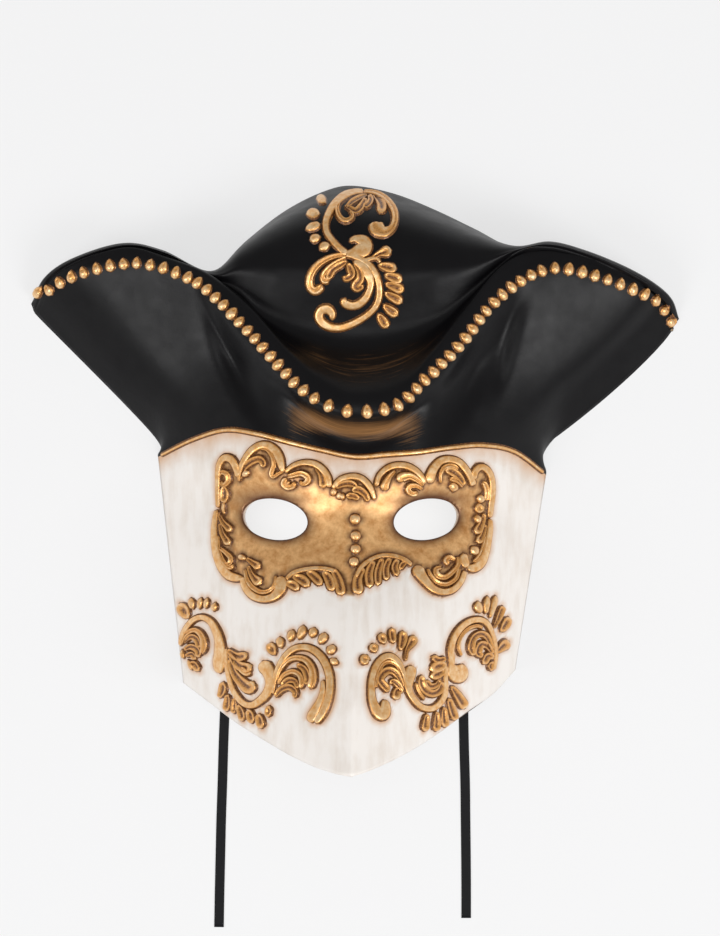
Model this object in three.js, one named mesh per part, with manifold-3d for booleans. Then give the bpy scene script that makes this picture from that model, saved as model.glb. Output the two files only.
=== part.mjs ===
// A bauta mask moulded in one with the front of a tricorn hat, with two ties.
// It lies on its back rim: +Z points out of the face, +Y to the top of the hat, X across.
// The origin is on the surface that it lies on, under the middle of the mask's outline.
import * as THREE from 'three';
import { mergeVertices } from 'three/addons/utils/BufferGeometryUtils.js';
import Module from 'manifold-3d';

const wasm = await Module();
wasm.setup();

// Driving sizes, in millimetres
const HAT_SPAN = 321.7; // across the hat, tip to tip
const MASK_LENGTH = 281.6; // from the top of the crown to the tip of the chin
const PROW_HEIGHT = 112; // the tip of the chin above the back rim
const WALL = 2.5; // papier-mache
const EYE_LENGTH = 32;
const EYE_HEIGHT = 19.5;
const EYE_TILT = 8; // degrees, inner corners low
const EYE_LEFT_X = -38.4;
const EYE_RIGHT_X = 34.6;
const EYE_Y = -18.4;
const BEAD_WIDTH = 4.6;
const BEAD_LENGTH = 6.2;
const BEAD_PITCH = 6.85;
const BEAD_RISE = 1.5;
const RIM_LINE_WIDTH = 2.8;
const RIM_LINE_RISE = 1.1;
const BAND_WIDTH = 3.1; // the main piped scrolls
const BAND_RISE = 1.9;
const LEAF_WIDTH = 2.5; // the finer curls inside them
const LEAF_RISE = 1.5;
const DROP_LENGTH = 6.4;
const DROP_WIDTH = 3;
const DROP_RISE = 1.5;
const SINK = 0.9; // how deep the relief is set into the wall
const BAND_STEP = 9; // between the sections of a piped line
const LEAF_STEP = 10;
const BEAD_LINE_END = 0.97; // how far towards the tips of the hat the row of drops goes
const RIM_LINE_END = 0.985;
const TIE_WIDTH = 4.8;
const TIE_THICKNESS = 0.5;

// The free form is drawn at these sizes and follows the sizes above
const DRAWN_SPAN = 321.7;
const DRAWN_LENGTH = 281.6;
const DRAWN_HEIGHT = 112;
const DRAWN_MIDDLE = 5.5; // of the outline, up the face
const across = HAT_SPAN / DRAWN_SPAN;
const along = MASK_LENGTH / DRAWN_LENGTH;
const rise = PROW_HEIGHT / DRAWN_HEIGHT;

// Feature lines of the hat, tip to middle and middle to tip, each point x, y, z
const BACK_EDGE = {
  left: [[-160.7, 87.7, 0], [-153.8, 100.4, 0], [-138.9, 109.6, 0], [-114, 116.8, 0], [-94.2, 113.2, 0],
    [-70.8, 103.1, 0], [-54.5, 118.5, 0], [-34.6, 133.9, 0], [-14.7, 143.8, 0], [0.2, 146.3, 0]],
  right: [[20, 142.3, 0], [39.9, 134.4, 0], [59.7, 124.9, 0], [79.1, 115.5, 0], [96, 117.6, 0],
    [114.4, 113, 0], [134.2, 105.2, 0], [149.1, 97.2, 0], [157.6, 89.7, 0], [161, 80.2, 0]],
};
const CROWN_CREASE = {
  left: [[-159.2, 83.7, 0], [-150.3, 97.7, 14], [-135.5, 106.8, 25], [-111.2, 113.2, 31], [-90.9, 109, 36],
    [-68, 97.6, 39], [-56.3, 91.2, 41], [-44.7, 79.6, 42], [-23.9, 69.4, 44], [0.2, 64.5, 45]],
  right: [[21.9, 67.9, 44], [41.2, 76.7, 43], [55.7, 89.3, 42], [77.1, 108.8, 39], [92.8, 112.4, 36],
    [111, 108.8, 32], [130.4, 101.3, 27], [145.4, 93.6, 18], [154.2, 86.7, 9], [159.1, 77.7, 0]],
};
const LIP_CREST = {
  left: [[-157.7, 81.7, 0], [-148.7, 96.6, 16], [-133.9, 105.2, 27], [-110.4, 111.5, 34], [-90.2, 106.3, 40],
    [-70.6, 98.3, 44], [-50.1, 81, 52], [-31.6, 60.5, 62], [-15.9, 47, 67], [1.2, 40.3, 71]],
  right: [[21.6, 44.2, 67], [36, 58.6, 61], [50.5, 76.1, 54], [67.1, 96.7, 46], [84.8, 106.8, 40],
    [99.6, 109, 36], [116.9, 105.9, 31], [137, 97.6, 24], [151.1, 89.1, 10], [158.1, 75.8, 0]],
};
const BEAD_LINE = {
  left: [[-155.3, 79.2, 0], [-146.7, 93.7, 16], [-131.4, 101.3, 28], [-106.9, 105.6, 36], [-85.1, 100.3, 43],
    [-71, 91.9, 47], [-54.8, 76.1, 54], [-35.9, 55.2, 63], [-21, 40.8, 69], [-2.1, 33.2, 73]],
  right: [[19.2, 35.6, 70], [32.1, 47.1, 64], [49, 64, 57], [66.1, 85.1, 48], [83.2, 98.4, 42],
    [99.4, 103, 38], [120.8, 98.6, 31], [140.1, 91.9, 22], [150.6, 86.1, 10], [157.1, 73.8, 0]],
};
// The lower edge of the hat, where the gold line runs, and the hem below the chin, seen from the front
const RIM_LINE = {
  left: [[-97.7, 11.7], [-79.5, 20], [-62.5, 24.6], [-47, 22.6], [-31, 18.4], [-15.5, 14.6], [0.3, 11.5]],
  right: [[15.5, 12.6], [31, 13.8], [46.5, 16], [62, 17.2], [78.4, 14.1], [95, 2.8]],
};
const HEM = {
  left: [[-85.2, -100.5], [-70.5, -109], [-56.5, -117], [-42.5, -123.5], [-28.5, -129.5], [-14.5, -133.8],
    [-1, -135.3]],
  right: [[13, -131.6], [27, -126.2], [40.5, -119.5], [54, -111.5], [67.5, -103.5], [78.6, -90.1]],
};
// How far down each hat line lies on the way from the back edge to the rim line
const HAT_STEPS = [0, 0.12, 0.3, 0.5, 0.64, 0.7, 0.85, 1];
const COVE_DEPTH = 8; // the hollow under the lip
const TUCK_PLACE = 0.94; // how far down a wing's lower edge it is drawn in most
const TUCK_LEFT = 8;
const TUCK_RIGHT = 13.5;
const BELLY_RIGHT = 4; // how far the right wing's lower edge sags above that
const CROWN_SWELL = 5;
const FOLD_DEPTH = 5;
const FOLD_BULGE = 4;
// The middle of the face from the rim line to the tip of the chin: how far down, how high
const PROFILE_STEPS = [0, 0.1, 0.2, 0.28, 0.36, 0.45, 0.6, 0.76, 1];
const PROFILE = [60, 63, 60.5, 62, 69, 78, 90, 100, 112];
const FOREHEAD_ROUND = 2.3; // the roundness of the face across
const PROW_ROUND = 1.25;
const NOSE_RISE = 6;
const NOSE_REACH = [10, 19]; // across and along
const NOSE_Y = -27;
const SOCKET_DEPTH = 4;
const SOCKET_REACH = [15, 10];

// The scrolls, seen from the front: each one is a smooth line through a few places, x, y
const HAT_BANDS = [
  [[-3.6, 109.4], [-10.9, 114.7], [-14.2, 122.9], [-13.3, 128.7], [-8.4, 134.4], [-0.7, 138.3], [6.5, 139],
    [12.8, 137.8], [17.6, 133.5], [20.5, 125.8], [18.5, 121], [13.2, 118.5]],
  [[-2.7, 108.4], [-8.4, 108.4], [-16.6, 105], [-21.9, 97.8], [-21, 92.5], [-15.7, 93]],
  [[0.7, 107.5], [6.5, 103.1], [8.4, 96.4], [7, 89.1], [1.7, 84.8], [-4.6, 87.2]],
  [[-2.7, 108.4], [4.6, 106], [10.4, 99.3], [12.8, 91.6], [10.4, 84.3], [5.5, 79], [-0.7, 75.2], [-8.4, 73.2],
    [-14.7, 75.2], [-18.1, 79.5], [-15.7, 83.8], [-11.3, 84.3], [-10.9, 81.4]],
];
const HAT_LEAVES = [
  [[-8, 130.1], [-7.5, 126.7], [-5.6, 124.3], [-1.2, 126.3]],
  [[-1.2, 126.3], [1.2, 129.6], [5.5, 132], [7.5, 129.6]],
  [[10.8, 128.2], [14.7, 129.6], [16.1, 126.7]],
  [[-8, 105.5], [-12.8, 103.1], [-15.4, 98.3], [-12.3, 95.4]],
  [[-4.6, 104.6], [-6, 100.7], [-3.6, 97.3]],
  [[-1.7, 105], [3.1, 100.7], [2.6, 94.9], [-1.7, 93]],
];
const EYE_BANDS = [
  [[-10.8, -3.1], [-13.2, 2.9], [-18, 7.7], [-24.7, 9.1], [-30, 8.2], [-33.8, 4.8]],
  [[-33.8, 4.8], [-34.3, 10.6], [-37.7, 15.1], [-43.9, 18.2], [-50.4, 15.1], [-54.5, 10.1], [-55.7, 4.3]],
  [[-55.7, 4.3], [-56.4, 10.1], [-60, 13], [-64.8, 9.6], [-66, 0.5], [-65.5, -12], [-67.7, -24], [-67, -37],
    [-62.2, -45.6], [-57.8, -48.5], [-53.5, -46.6]],
  [[-53.5, -46.6], [-52.1, -51.4], [-47.3, -56.6], [-40.6, -58.3], [-34.8, -54.7], [-31.9, -50.4]],
  [[-10.8, -3.1], [-8.4, 1], [-1.2, 2.9], [5.5, 1.4], [8.9, -2.4]],
  [[9.6, -1.9], [11.5, 3.8], [16.8, 7.7], [22.3, 8.4], [28.6, 6.5], [33.4, 2.9]],
  [[33.4, 2.9], [37.7, 8.2], [43.4, 11.5], [49, 11.5], [53.3, 8.2], [55.4, 4.3]],
  [[55.4, 4.3], [56.9, 8.2], [60.2, 9.1], [65, 5.5], [67.2, -0.5], [65.8, -12.5], [65, -25.9], [62.4, -37],
    [59.8, -42.2], [55.9, -44.2], [52.6, -43.2]],
  [[52.6, -43.2], [50.6, -48.5], [45.4, -54], [39.4, -55.1], [33.8, -52.3], [29.5, -46.6], [27.1, -41.3]],
];
const EYE_LEAVES = [
  [[-41.5, 4.3], [-43.9, 8.6], [-47.8, 9.1], [-48.7, 5.8]],
  [[-37.7, 2.4], [-41.5, 0], [-47.3, -1.4], [-51.6, 1.4], [-50.9, 4.3]],
  [[-30, 1.4], [-24.7, 2.4], [-21.4, -0.5], [-24.2, -3.4]],
  [[-19.4, 0.5], [-16.6, -3.4], [-12.7, -2.9]],
  [[-61.7, 4.3], [-59.3, 0.5], [-61.7, -2.9]],
  [[-61.2, -4.3], [-59.3, -8.2], [-61.7, -11.5]],
  [[-64.1, -14.9], [-61.2, -18.7], [-58.8, -22.6]],
  [[-64.6, -31.7], [-62.6, -35.5], [-60.2, -37]],
  [[-55, -40.8], [-49.2, -38.9], [-44.4, -41.3], [-43.4, -45.6], [-46.3, -48.5]],
  [[-41.5, -44.6], [-37.7, -45.1], [-35.3, -47.5], [-37.2, -50.9]],
  [[14.2, -4.8], [16.1, -1], [19, 1.4], [22.3, 2.4]],
  [[23.3, -1.4], [25.7, 0], [28.6, -2.4], [26.6, -5.8]],
  [[41, 1.4], [43.9, 5.3], [48.2, 4.3], [48.7, -0.5], [44.9, -2.4]],
  [[59.3, 3.4], [62.6, 1.4], [62.2, -2.9]],
  [[60.2, -5.3], [62.6, -8.2], [60.2, -11.5]],
  [[63.1, -16.8], [60.2, -19.7], [58.8, -22.6]],
  [[61.7, -30.7], [58.8, -32.6], [56.4, -34.6]],
  [[51.6, -37], [47.3, -36], [44.4, -38.9], [45.8, -43.2]],
  [[42.5, -41.8], [39.1, -42.7], [38.2, -46.6], [41.5, -49]],
];
const CHEEK_BANDS = [
  [[-80, -80.7], [-79.8, -73.6], [-77, -67.5], [-71.6, -64.4], [-66.4, -67.5], [-63.1, -73.6], [-61.2, -79.8]],
  [[-63.8, -79.8], [-64.2, -84.5], [-63.3, -91.1]],
  [[-60.2, -78.8], [-59.5, -86.9], [-57.9, -95.4], [-54.6, -102.2], [-49.4, -106], [-43.7, -104.4],
    [-39.4, -99.6], [-37.5, -92.1], [-38, -86.4], [-42.3, -84.5]],
  [[-36.6, -95.9], [-35.7, -88.3], [-32.8, -83.1], [-28.6, -79.3], [-23.1, -77.9], [-17.2, -80.6],
    [-13, -86.4], [-10.1, -94.9], [-11.1, -103.4], [-14.9, -110.5], [-20.1, -113.8]],
  [[-34.6, -97.8], [-32.6, -90.2], [-29.8, -85.6], [-26.2, -83.6], [-21.5, -85.9], [-18.6, -91.6],
    [-17.7, -98.7], [-21, -102]],
  [[23.4, -99.6], [23, -94], [21.5, -87.8], [18.7, -82.6], [14.7, -81.7], [9.7, -85.9], [7.1, -92.6],
    [6.4, -100.6], [8.3, -107.2], [12.1, -112.4]],
  [[23.9, -86.9], [23, -93], [24.9, -99.6], [28.6, -104.8], [34.8, -108.2], [40.2, -106], [42.8, -100.6],
    [44.2, -92.6], [44.1, -83.8], [45.2, -77.4], [49.4, -70.3], [55.6, -65.4], [60.8, -64.7], [64.6, -68.4],
    [66.5, -75.1], [66.3, -81.7], [64.6, -89.2]],
];
const CHEEK_LEAVES = [
  [[-53.6, -80.7], [-50.3, -83.1], [-50.3, -86.4]],
  [[-51.2, -88.3], [-47.5, -88.3], [-46.5, -92.1]],
  [[-52.2, -94.9], [-47.9, -95.9], [-48.9, -99.2]],
  [[-31.5, -98.7], [-29.2, -92.6], [-25.3, -88.9]],
  [[-30.3, -101], [-27, -96.4], [-23.1, -94.6]],
  [[19.6, -97.7], [18.1, -90.8], [15.4, -86]],
  [[17.4, -100.6], [14.6, -96.4], [11.6, -93.6]],
  [[39.5, -85.9], [35.7, -82.2], [32.9, -84]],
  [[39.5, -91.1], [34.8, -88.8], [31.9, -91.1]],
  [[39.5, -97.3], [35.7, -100.1], [32.4, -97.8]],
  [[48.8, -87.3], [50.9, -82.2], [53.7, -77]],
  [[50.4, -77.3], [53.7, -73.2], [59.8, -70.3]],
  [[53.7, -83.5], [57, -79.6], [61.3, -77]],
];
// Rows of drops round the scrolls: middle, radius at the start and end, angles in degrees, how many
const DROP_ROWS = [
  { middle: [-7, 123.8], radii: [14.2, 14.2], angles: [128, 235], count: 5 },
  { middle: [2.6, 91.1], radii: [17.8, 17.6], angles: [41, -51], count: 6 },
  { middle: [-73.6, -74.3], radii: [15, 16.4], angles: [112, 64], count: 4 },
  { middle: [-22.7, -89.3], radii: [19.7, 15], angles: [144, 21], count: 8 },
  { middle: [-48.4, -94], radii: [15, 18], angles: [198, 299], count: 7 },
  { middle: [16.7, -87.4], radii: [12.9, 15.5], angles: [162, 68], count: 5 },
  { middle: [58.9, -73.8], radii: [14.4, 14.7], angles: [92, 25], count: 5 },
  { middle: [33.4, -94], radii: [20.4, 19.8], angles: [269, 331], count: 6 },
];
// Feathers under the nose: where the first and last one start and end
const FEATHERS = [
  { count: 6, starts: [[-30, -44], [-9, -45.5]], ends: [[-26, -53.5], [-7, -57]], bow: 2.4 },
  { count: 5, starts: [[24, -38.5], [1.5, -45]], ends: [[19.5, -48.5], [2.5, -57]], bow: -2.4 },
];
// Round knobs: x, y, radius
const KNOBS = [
  [3.9, 114.2, 4.3], [9.9, 121.4, 2.6], [-42.3, -86.5, 3.4], [-19.3, -110, 2.8], [13.4, -106.2, 2.8],
  [48.2, -90.5, 4], [0.5, -18.4, 2], [0.6, -26.6, 1.9], [0.3, -32.6, 1.7], [-0.2, -38.3, 1.6],
];

// The ties, from the glued end inside the shell to the cut end: x, y, z and how far the tape leans, in degrees
const LEFT_TIE = [
  [-60, 8, 33.2, 41], [-60, 0, 31.3, 41], [-60.1, -8, 30.4, 41], [-60.3, -16, 29, 38], [-60.5, -24, 25.5, 32],
  [-60.7, -32, 20, 24], [-61, -40, 14, 16], [-61.3, -48, 8.6, 9], [-61.7, -56, 4.4, 4], [-62, -64, 1.8, 1],
  [-62.4, -72, 0.7, 0], [-62.8, -80, 0.35, 0], [-63.3, -90, 0.3, 0], [-63.9, -102, 0.3, 0],
  [-64.6, -116, 0.3, 0], [-65.2, -132, 0.3, 0], [-65.7, -150, 0.3, 0], [-66.3, -168, 0.3, 0],
  [-66.7, -186, 0.3, 0], [-67.1, -204, 0.3, 0], [-67.4, -221.7, 0.3, 0],
];
const RIGHT_TIE = [
  [52.5, 8, 39.7, -38], [52.5, 0, 38.4, -38], [52.5, -8, 36.2, -38], [52.6, -16, 33.9, -35], [52.7, -24, 29.3, -30],
  [52.8, -32, 23, -23], [52.9, -40, 16.4, -15], [53.1, -48, 10.3, -8], [53.3, -56, 5.5, -4], [53.5, -64, 2.3, -1],
  [53.6, -72, 0.9, 0], [53.7, -80, 0.4, 0], [53.8, -90, 0.3, 0], [53.9, -102, 0.3, 0],
  [54, -116, 0.3, 0], [54.3, -132, 0.3, 0], [54.8, -150, 0.3, 0], [55, -168, 0.3, 0],
  [55.2, -186, 0.3, 0], [55.3, -202, 0.3, 0], [55.3, -217.2, 0.3, 0],
];

// How finely the shell is cut into faces
const COLUMNS = 30;
const HAT_ROWS = [0, 0.12, 0.24, 0.37, 0.5, 0.58, 0.64, 0.7, 0.78, 0.89];
const FACE_ROWS = 10;

// A cubic curve through the values at the knots
function smooth(knots, values, at) {
  const last = knots.length - 1;
  let i = 0;
  while (i < last - 1 && at > knots[i + 1]) i += 1;
  const chord = (k, d) => (values[k + 1][d] - values[k][d]) / (knots[k + 1] - knots[k]);
  const slope = (k, d) => {
    if (k === 0) return chord(0, d);
    if (k === last) return chord(last - 1, d);
    const before = knots[k] - knots[k - 1];
    const after = knots[k + 1] - knots[k];
    return (chord(k - 1, d) * after + chord(k, d) * before) / (before + after);
  };
  const h = knots[i + 1] - knots[i];
  const s = (at - knots[i]) / h;
  return values[0].map((_, d) => (2 * s ** 3 - 3 * s ** 2 + 1) * values[i][d]
    + (s ** 3 - 2 * s ** 2 + s) * h * slope(i, d)
    + (3 * s ** 2 - 2 * s ** 3) * values[i + 1][d]
    + (s ** 3 - s ** 2) * h * slope(i + 1, d));
}

// A feature line runs from u = -1 at the left through 0 in the middle to 1 at the right
function featureLine({ left, right }) {
  const points = [...left, ...right];
  const middle = left.length - 1;
  const knots = points.map((_, i) => (i <= middle ? i / middle - 1 : (i - middle) / right.length));
  return (u) => smooth(knots, points, u);
}
const backEdge = featureLine(BACK_EDGE);
const crownCrease = featureLine(CROWN_CREASE);
const lipCrest = featureLine(LIP_CREST);
const beadLine = featureLine(BEAD_LINE);
const rimLine = featureLine(RIM_LINE);
const hem = featureLine(HEM);

const mix = (a, b, t) => a.map((value, d) => value + (b[d] - value) * t);
const bump = (distance, width) => Math.exp(-((distance / width) ** 2));

// The face below the rim line: u across, s from the rim line down to the hem
function facePoint(u, s) {
  const [x, y] = mix(rimLine(u), hem(u), s);
  const [ridge] = smooth(PROFILE_STEPS, PROFILE.map((z) => [z]), s);
  const round = FOREHEAD_ROUND + (PROW_ROUND - FOREHEAD_ROUND) * s ** 0.8;
  const inside = 1 - Math.abs(u) ** 6;
  const nose = NOSE_RISE * bump(x, NOSE_REACH[0]) * bump(y - NOSE_Y, NOSE_REACH[1]);
  const besideEyes = bump(x - EYE_LEFT_X, SOCKET_REACH[0]) + bump(x - EYE_RIGHT_X, SOCKET_REACH[0]);
  const sockets = SOCKET_DEPTH * besideEyes * bump(y - EYE_Y, SOCKET_REACH[1]);
  return [x, y, ridge * (1 - Math.abs(u) ** round) + inside * (nose - sockets)];
}

// The hat above the rim line: v from the back edge down to the rim line
function hatPoint(u, v) {
  const back = backEdge(u);
  const crease = crownCrease(u);
  const crest = lipCrest(u);
  const beads = beadLine(u);
  const rim = facePoint(u, 0);
  const crown = Math.min(1, Math.hypot(crease[0] - back[0], crease[1] - back[1]) / 60);
  const shoulder = mix(back, crease, 0.16);
  shoulder[2] = crease[2] * 0.72;
  const dome = mix(back, crease, 0.55);
  dome[2] = crease[2] + CROWN_SWELL * crown * (1 - Math.abs(u) ** 4);
  const away = Math.abs(u);
  const cove = mix(beads, rim, 0.5 + (TUCK_PLACE - 0.5) * away ** 6);
  cove[1] += (u < 0 ? TUCK_LEFT : TUCK_RIGHT) * away ** 6;
  cove[2] -= COVE_DEPTH * (1 - away ** 4) * (1 - 0.4 * away);
  cove[2] += FOLD_BULGE * bump(away - 0.27, 0.1) - FOLD_DEPTH * bump(away - 0.47, 0.07);
  const place = smooth(HAT_STEPS, [back, shoulder, dome, crease, crest, beads, cove, rim], v);
  const belly = Math.sin(Math.PI * Math.min(1, Math.max(0, (v - 0.7) / 0.15)));
  if (u > 0) place[1] -= BELLY_RIGHT * belly * away ** 6;
  return place;
}

// The whole outer surface: w from 0 to 1 is the hat and from 1 to 2 the face
function outer(u, w) {
  const [x, y, z] = w <= 1 ? hatPoint(u, w) : facePoint(u, w - 1);
  return new THREE.Vector3(x * across, (y - DRAWN_MIDDLE) * along, Math.max(z, 0) * rise);
}

const rows = [...HAT_ROWS, ...Array.from({ length: FACE_ROWS + 1 }, (_, i) => 1 + i / FACE_ROWS)];
const columns = Array.from({ length: COLUMNS + 1 }, (_, i) => -1 + (2 * i) / COLUMNS);

function outwards(u, w) {
  const step = 0.004;
  const side = outer(Math.min(1, u + step), w).sub(outer(Math.max(-1, u - step), w));
  const down = outer(u, Math.min(2, w + step)).sub(outer(u, Math.max(0, w - step)));
  return down.cross(side).normalize();
}

// The inner surface lies a wall's thickness inside, and ends level with the outer one on the back rim
function inner(i, j) {
  const w = rows[j];
  const point = outer(columns[i], w);
  const side = i === 0 ? -1 : Number(i === COLUMNS);
  const normal = outwards(columns[i], w);
  if (!side && j > 0) return point.addScaledVector(normal, -WALL);
  const edges = [];
  if (side) {
    const down = outer(side, Math.min(2, w + 0.01)).sub(outer(side, Math.max(0, w - 0.01)));
    edges.push(new THREE.Vector3(-down.y, down.x, 0).multiplyScalar(side).normalize());
  }
  if (j === 0) {
    const u = columns[i];
    const sideways = outer(Math.min(1, u + 0.01), 0).sub(outer(Math.max(-1, u - 0.01), 0));
    edges.push(new THREE.Vector3(-sideways.y, sideways.x, 0).normalize());
  }
  const out = edges.reduce((sum, edge) => sum.add(edge), new THREE.Vector3());
  out.multiplyScalar(edges.length / out.lengthSq());
  return point.addScaledVector(out, -WALL).setZ(0);
}

function solidFrom(points, faces) {
  const geometry = new THREE.BufferGeometry();
  geometry.setAttribute('position', new THREE.Float32BufferAttribute(points.flatMap((p) => p.toArray()), 3));
  geometry.setIndex(faces);
  return toManifold(geometry);
}

function toManifold(source) {
  const geometry = source.clone();
  geometry.deleteAttribute('normal');
  geometry.deleteAttribute('uv');
  const merged = mergeVertices(geometry, 1e-4);
  const mesh = new wasm.Mesh({
    numProp: 3,
    vertProperties: new Float32Array(merged.attributes.position.array),
    triVerts: new Uint32Array(merged.index.array),
  });
  return new wasm.Manifold(mesh);
}

function toGeometry(solid) {
  const { vertProperties, triVerts } = solid.getMesh();
  const geometry = new THREE.BufferGeometry();
  geometry.setAttribute('position', new THREE.BufferAttribute(vertProperties, 3));
  geometry.setIndex(new THREE.BufferAttribute(triVerts, 1));
  geometry.computeVertexNormals();
  return geometry;
}

function makeShell() {
  const width = COLUMNS + 1;
  const count = width * rows.length;
  const points = [];
  for (const skin of [(i, j) => outer(columns[i], rows[j]), inner]) {
    rows.forEach((_, j) => columns.forEach((__, i) => points.push(skin(i, j))));
  }
  const faces = [];
  const quad = (a, b, c, d) => faces.push(a, b, c, a, c, d);
  for (let j = 0; j < rows.length - 1; j += 1) {
    for (let i = 0; i < COLUMNS; i += 1) {
      const a = j * width + i;
      quad(a, a + width, a + width + 1, a + 1);
      quad(count + a, count + a + 1, count + a + width + 1, count + a + width);
    }
    for (const [a, b] of [[(j + 1) * width, j * width], [j * width + COLUMNS, (j + 1) * width + COLUMNS]]) {
      quad(b, count + b, count + a, a);
    }
  }
  const low = (rows.length - 1) * width;
  for (let i = 0; i < COLUMNS; i += 1) {
    quad(i, i + 1, count + i + 1, count + i);
    quad(low + i + 1, low + i, count + low + i, count + low + i + 1);
  }
  return solidFrom(points, faces);
}

// A closed solid through sections that have as many corners each, from its start to its end
function loft(sections) {
  const corners = sections[0].length;
  const points = sections.flat();
  const faces = [];
  for (let k = 0; k < sections.length - 1; k += 1) {
    for (let c = 0; c < corners; c += 1) {
      const a = k * corners + c;
      const b = k * corners + ((c + 1) % corners);
      faces.push(a, b + corners, b, a, a + corners, b + corners);
    }
  }
  const last = (sections.length - 1) * corners;
  for (let c = 1; c < corners - 1; c += 1) {
    faces.push(0, c, c + 1, last, last + c + 1, last + c);
  }
  return { points, faces };
}

// Where a place on the drawing meets the outer surface
const skin = new THREE.Mesh(toGeometry(makeShell()));
const ray = new THREE.Raycaster();
const DOWN = new THREE.Vector3(0, 0, -1);
function onSkin(x, y) {
  const from = new THREE.Vector3(x * across, (y - DRAWN_MIDDLE) * along, 2 * PROW_HEIGHT);
  ray.set(from, DOWN);
  const [hit] = ray.intersectObject(skin);
  if (!hit) return { point: from.setZ(0), normal: new THREE.Vector3(0, 0, 1) };
  return { point: hit.point, normal: hit.face.normal.clone() };
}

// A rounded bead of plaster along a line, thin at both ends
function piped(line, width, height, step) {
  const knots = line.map((_, i) => i / (line.length - 1));
  const length = line.slice(1).reduce((sum, p, i) => sum + Math.hypot(p[0] - line[i][0], p[1] - line[i][1]), 0);
  const stations = Math.max(3, Math.round(length / step) + 1);
  const sections = [];
  for (let k = 0; k < stations; k += 1) {
    const t = k / (stations - 1);
    const here = smooth(knots, line, t);
    const next = smooth(knots, line, Math.min(1, t + 0.01));
    const before = smooth(knots, line, Math.max(0, t - 0.01));
    const heading = Math.atan2(next[1] - before[1], next[0] - before[0]);
    const half = (width / 2) * (0.45 + 0.55 * Math.sin(Math.PI * Math.min(1, t * 1.15)) ** 0.5);
    const aside = (d) => onSkin(here[0] - Math.sin(heading) * d, here[1] + Math.cos(heading) * d);
    const [right, middle, left] = [aside(-half), aside(0), aside(half)];
    sections.push([
      left.point.addScaledVector(left.normal, -SINK),
      right.point.addScaledVector(right.normal, -SINK),
      middle.point.addScaledVector(middle.normal, height),
    ]);
  }
  const { points, faces } = loft(sections);
  return solidFrom(points, faces);
}

// A drop or knob of plaster: a squashed ball half set into the surface
function dot(x, y, angle, length, width, height) {
  const { point, normal } = onSkin(x, y);
  const ball = new THREE.OctahedronGeometry(1, 0);
  const forward = new THREE.Vector3(Math.cos(angle), Math.sin(angle), 0);
  forward.addScaledVector(normal, -forward.dot(normal)).normalize();
  const sideways = new THREE.Vector3().crossVectors(normal, forward);
  const frame = new THREE.Matrix4().makeBasis(
    forward.multiplyScalar(length / 2), sideways.multiplyScalar(width / 2), normal.clone().multiplyScalar(height),
  );
  frame.setPosition(point);
  ball.applyMatrix4(frame);
  return toManifold(ball);
}

const radians = THREE.MathUtils.degToRad;

function dropRow({ middle, radii, angles, count }) {
  return Array.from({ length: count }, (_, i) => {
    const t = i / (count - 1);
    const angle = radians(angles[0] + (angles[1] - angles[0]) * t);
    const radius = radii[0] + (radii[1] - radii[0]) * t;
    const x = middle[0] + radius * Math.cos(angle);
    const y = middle[1] + radius * Math.sin(angle);
    return dot(x, y, angle, DROP_LENGTH, DROP_WIDTH, DROP_RISE);
  });
}

function feathers({ count, starts, ends, bow }) {
  return Array.from({ length: count }, (_, i) => {
    const start = mix(starts[0], starts[1], i / (count - 1));
    const end = mix(ends[0], ends[1], i / (count - 1));
    const middle = mix(start, end, 0.5);
    return piped([start, [middle[0] + bow, middle[1]], end], LEAF_WIDTH, LEAF_RISE, LEAF_STEP);
  });
}

function beadRow() {
  const fine = 400;
  const line = Array.from({ length: fine }, (_, i) => beadLine(BEAD_LINE_END * ((2 * i) / (fine - 1) - 1)));
  const lengths = [0];
  for (let i = 1; i < line.length; i += 1) {
    const gap = new THREE.Vector3(...line[i]).distanceTo(new THREE.Vector3(...line[i - 1]));
    lengths.push(lengths[i - 1] + gap);
  }
  const total = lengths[lengths.length - 1];
  const count = Math.round(total / BEAD_PITCH) + 1;
  return Array.from({ length: count }, (_, k) => {
    const i = Math.min(line.length - 2, Math.max(1, lengths.findIndex((d) => d >= (total * k) / (count - 1))));
    const heading = Math.atan2(line[i + 1][1] - line[i - 1][1], line[i + 1][0] - line[i - 1][0]);
    return dot(line[i][0], line[i][1], heading + Math.PI / 2, BEAD_LENGTH, BEAD_WIDTH, BEAD_RISE);
  });
}

function eyeHole(x, tilt) {
  const outline = new THREE.Shape();
  outline.absellipse(0, 0, EYE_LENGTH / 2, EYE_HEIGHT / 2, 0, 2 * Math.PI, false, radians(tilt));
  const cutter = new THREE.ExtrudeGeometry(outline, { depth: PROW_HEIGHT, bevelEnabled: false, curveSegments: 10 });
  cutter.translate(x * across, (EYE_Y - DRAWN_MIDDLE) * along, 1);
  return toManifold(cutter);
}

function makeMask() {
  const rim = Array.from({ length: 25 }, (_, i) => rimLine(RIM_LINE_END * (i / 12 - 1)));
  const relief = [
    piped(rim, RIM_LINE_WIDTH, RIM_LINE_RISE, BAND_STEP),
    ...beadRow(),
    ...[...HAT_BANDS, ...EYE_BANDS, ...CHEEK_BANDS].map((line) => piped(line, BAND_WIDTH, BAND_RISE, BAND_STEP)),
    ...[...HAT_LEAVES, ...EYE_LEAVES, ...CHEEK_LEAVES].map((line) => piped(line, LEAF_WIDTH, LEAF_RISE, LEAF_STEP)),
    ...DROP_ROWS.flatMap(dropRow),
    ...FEATHERS.flatMap(feathers),
    ...KNOBS.map(([x, y, radius]) => dot(x, y, 0, 2 * radius, 2 * radius, BEAD_RISE)),
  ];
  const whole = relief.reduce((mask, piece) => mask.add(piece), makeShell());
  return whole.subtract(eyeHole(EYE_LEFT_X, -EYE_TILT)).subtract(eyeHole(EYE_RIGHT_X, EYE_TILT));
}

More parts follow.
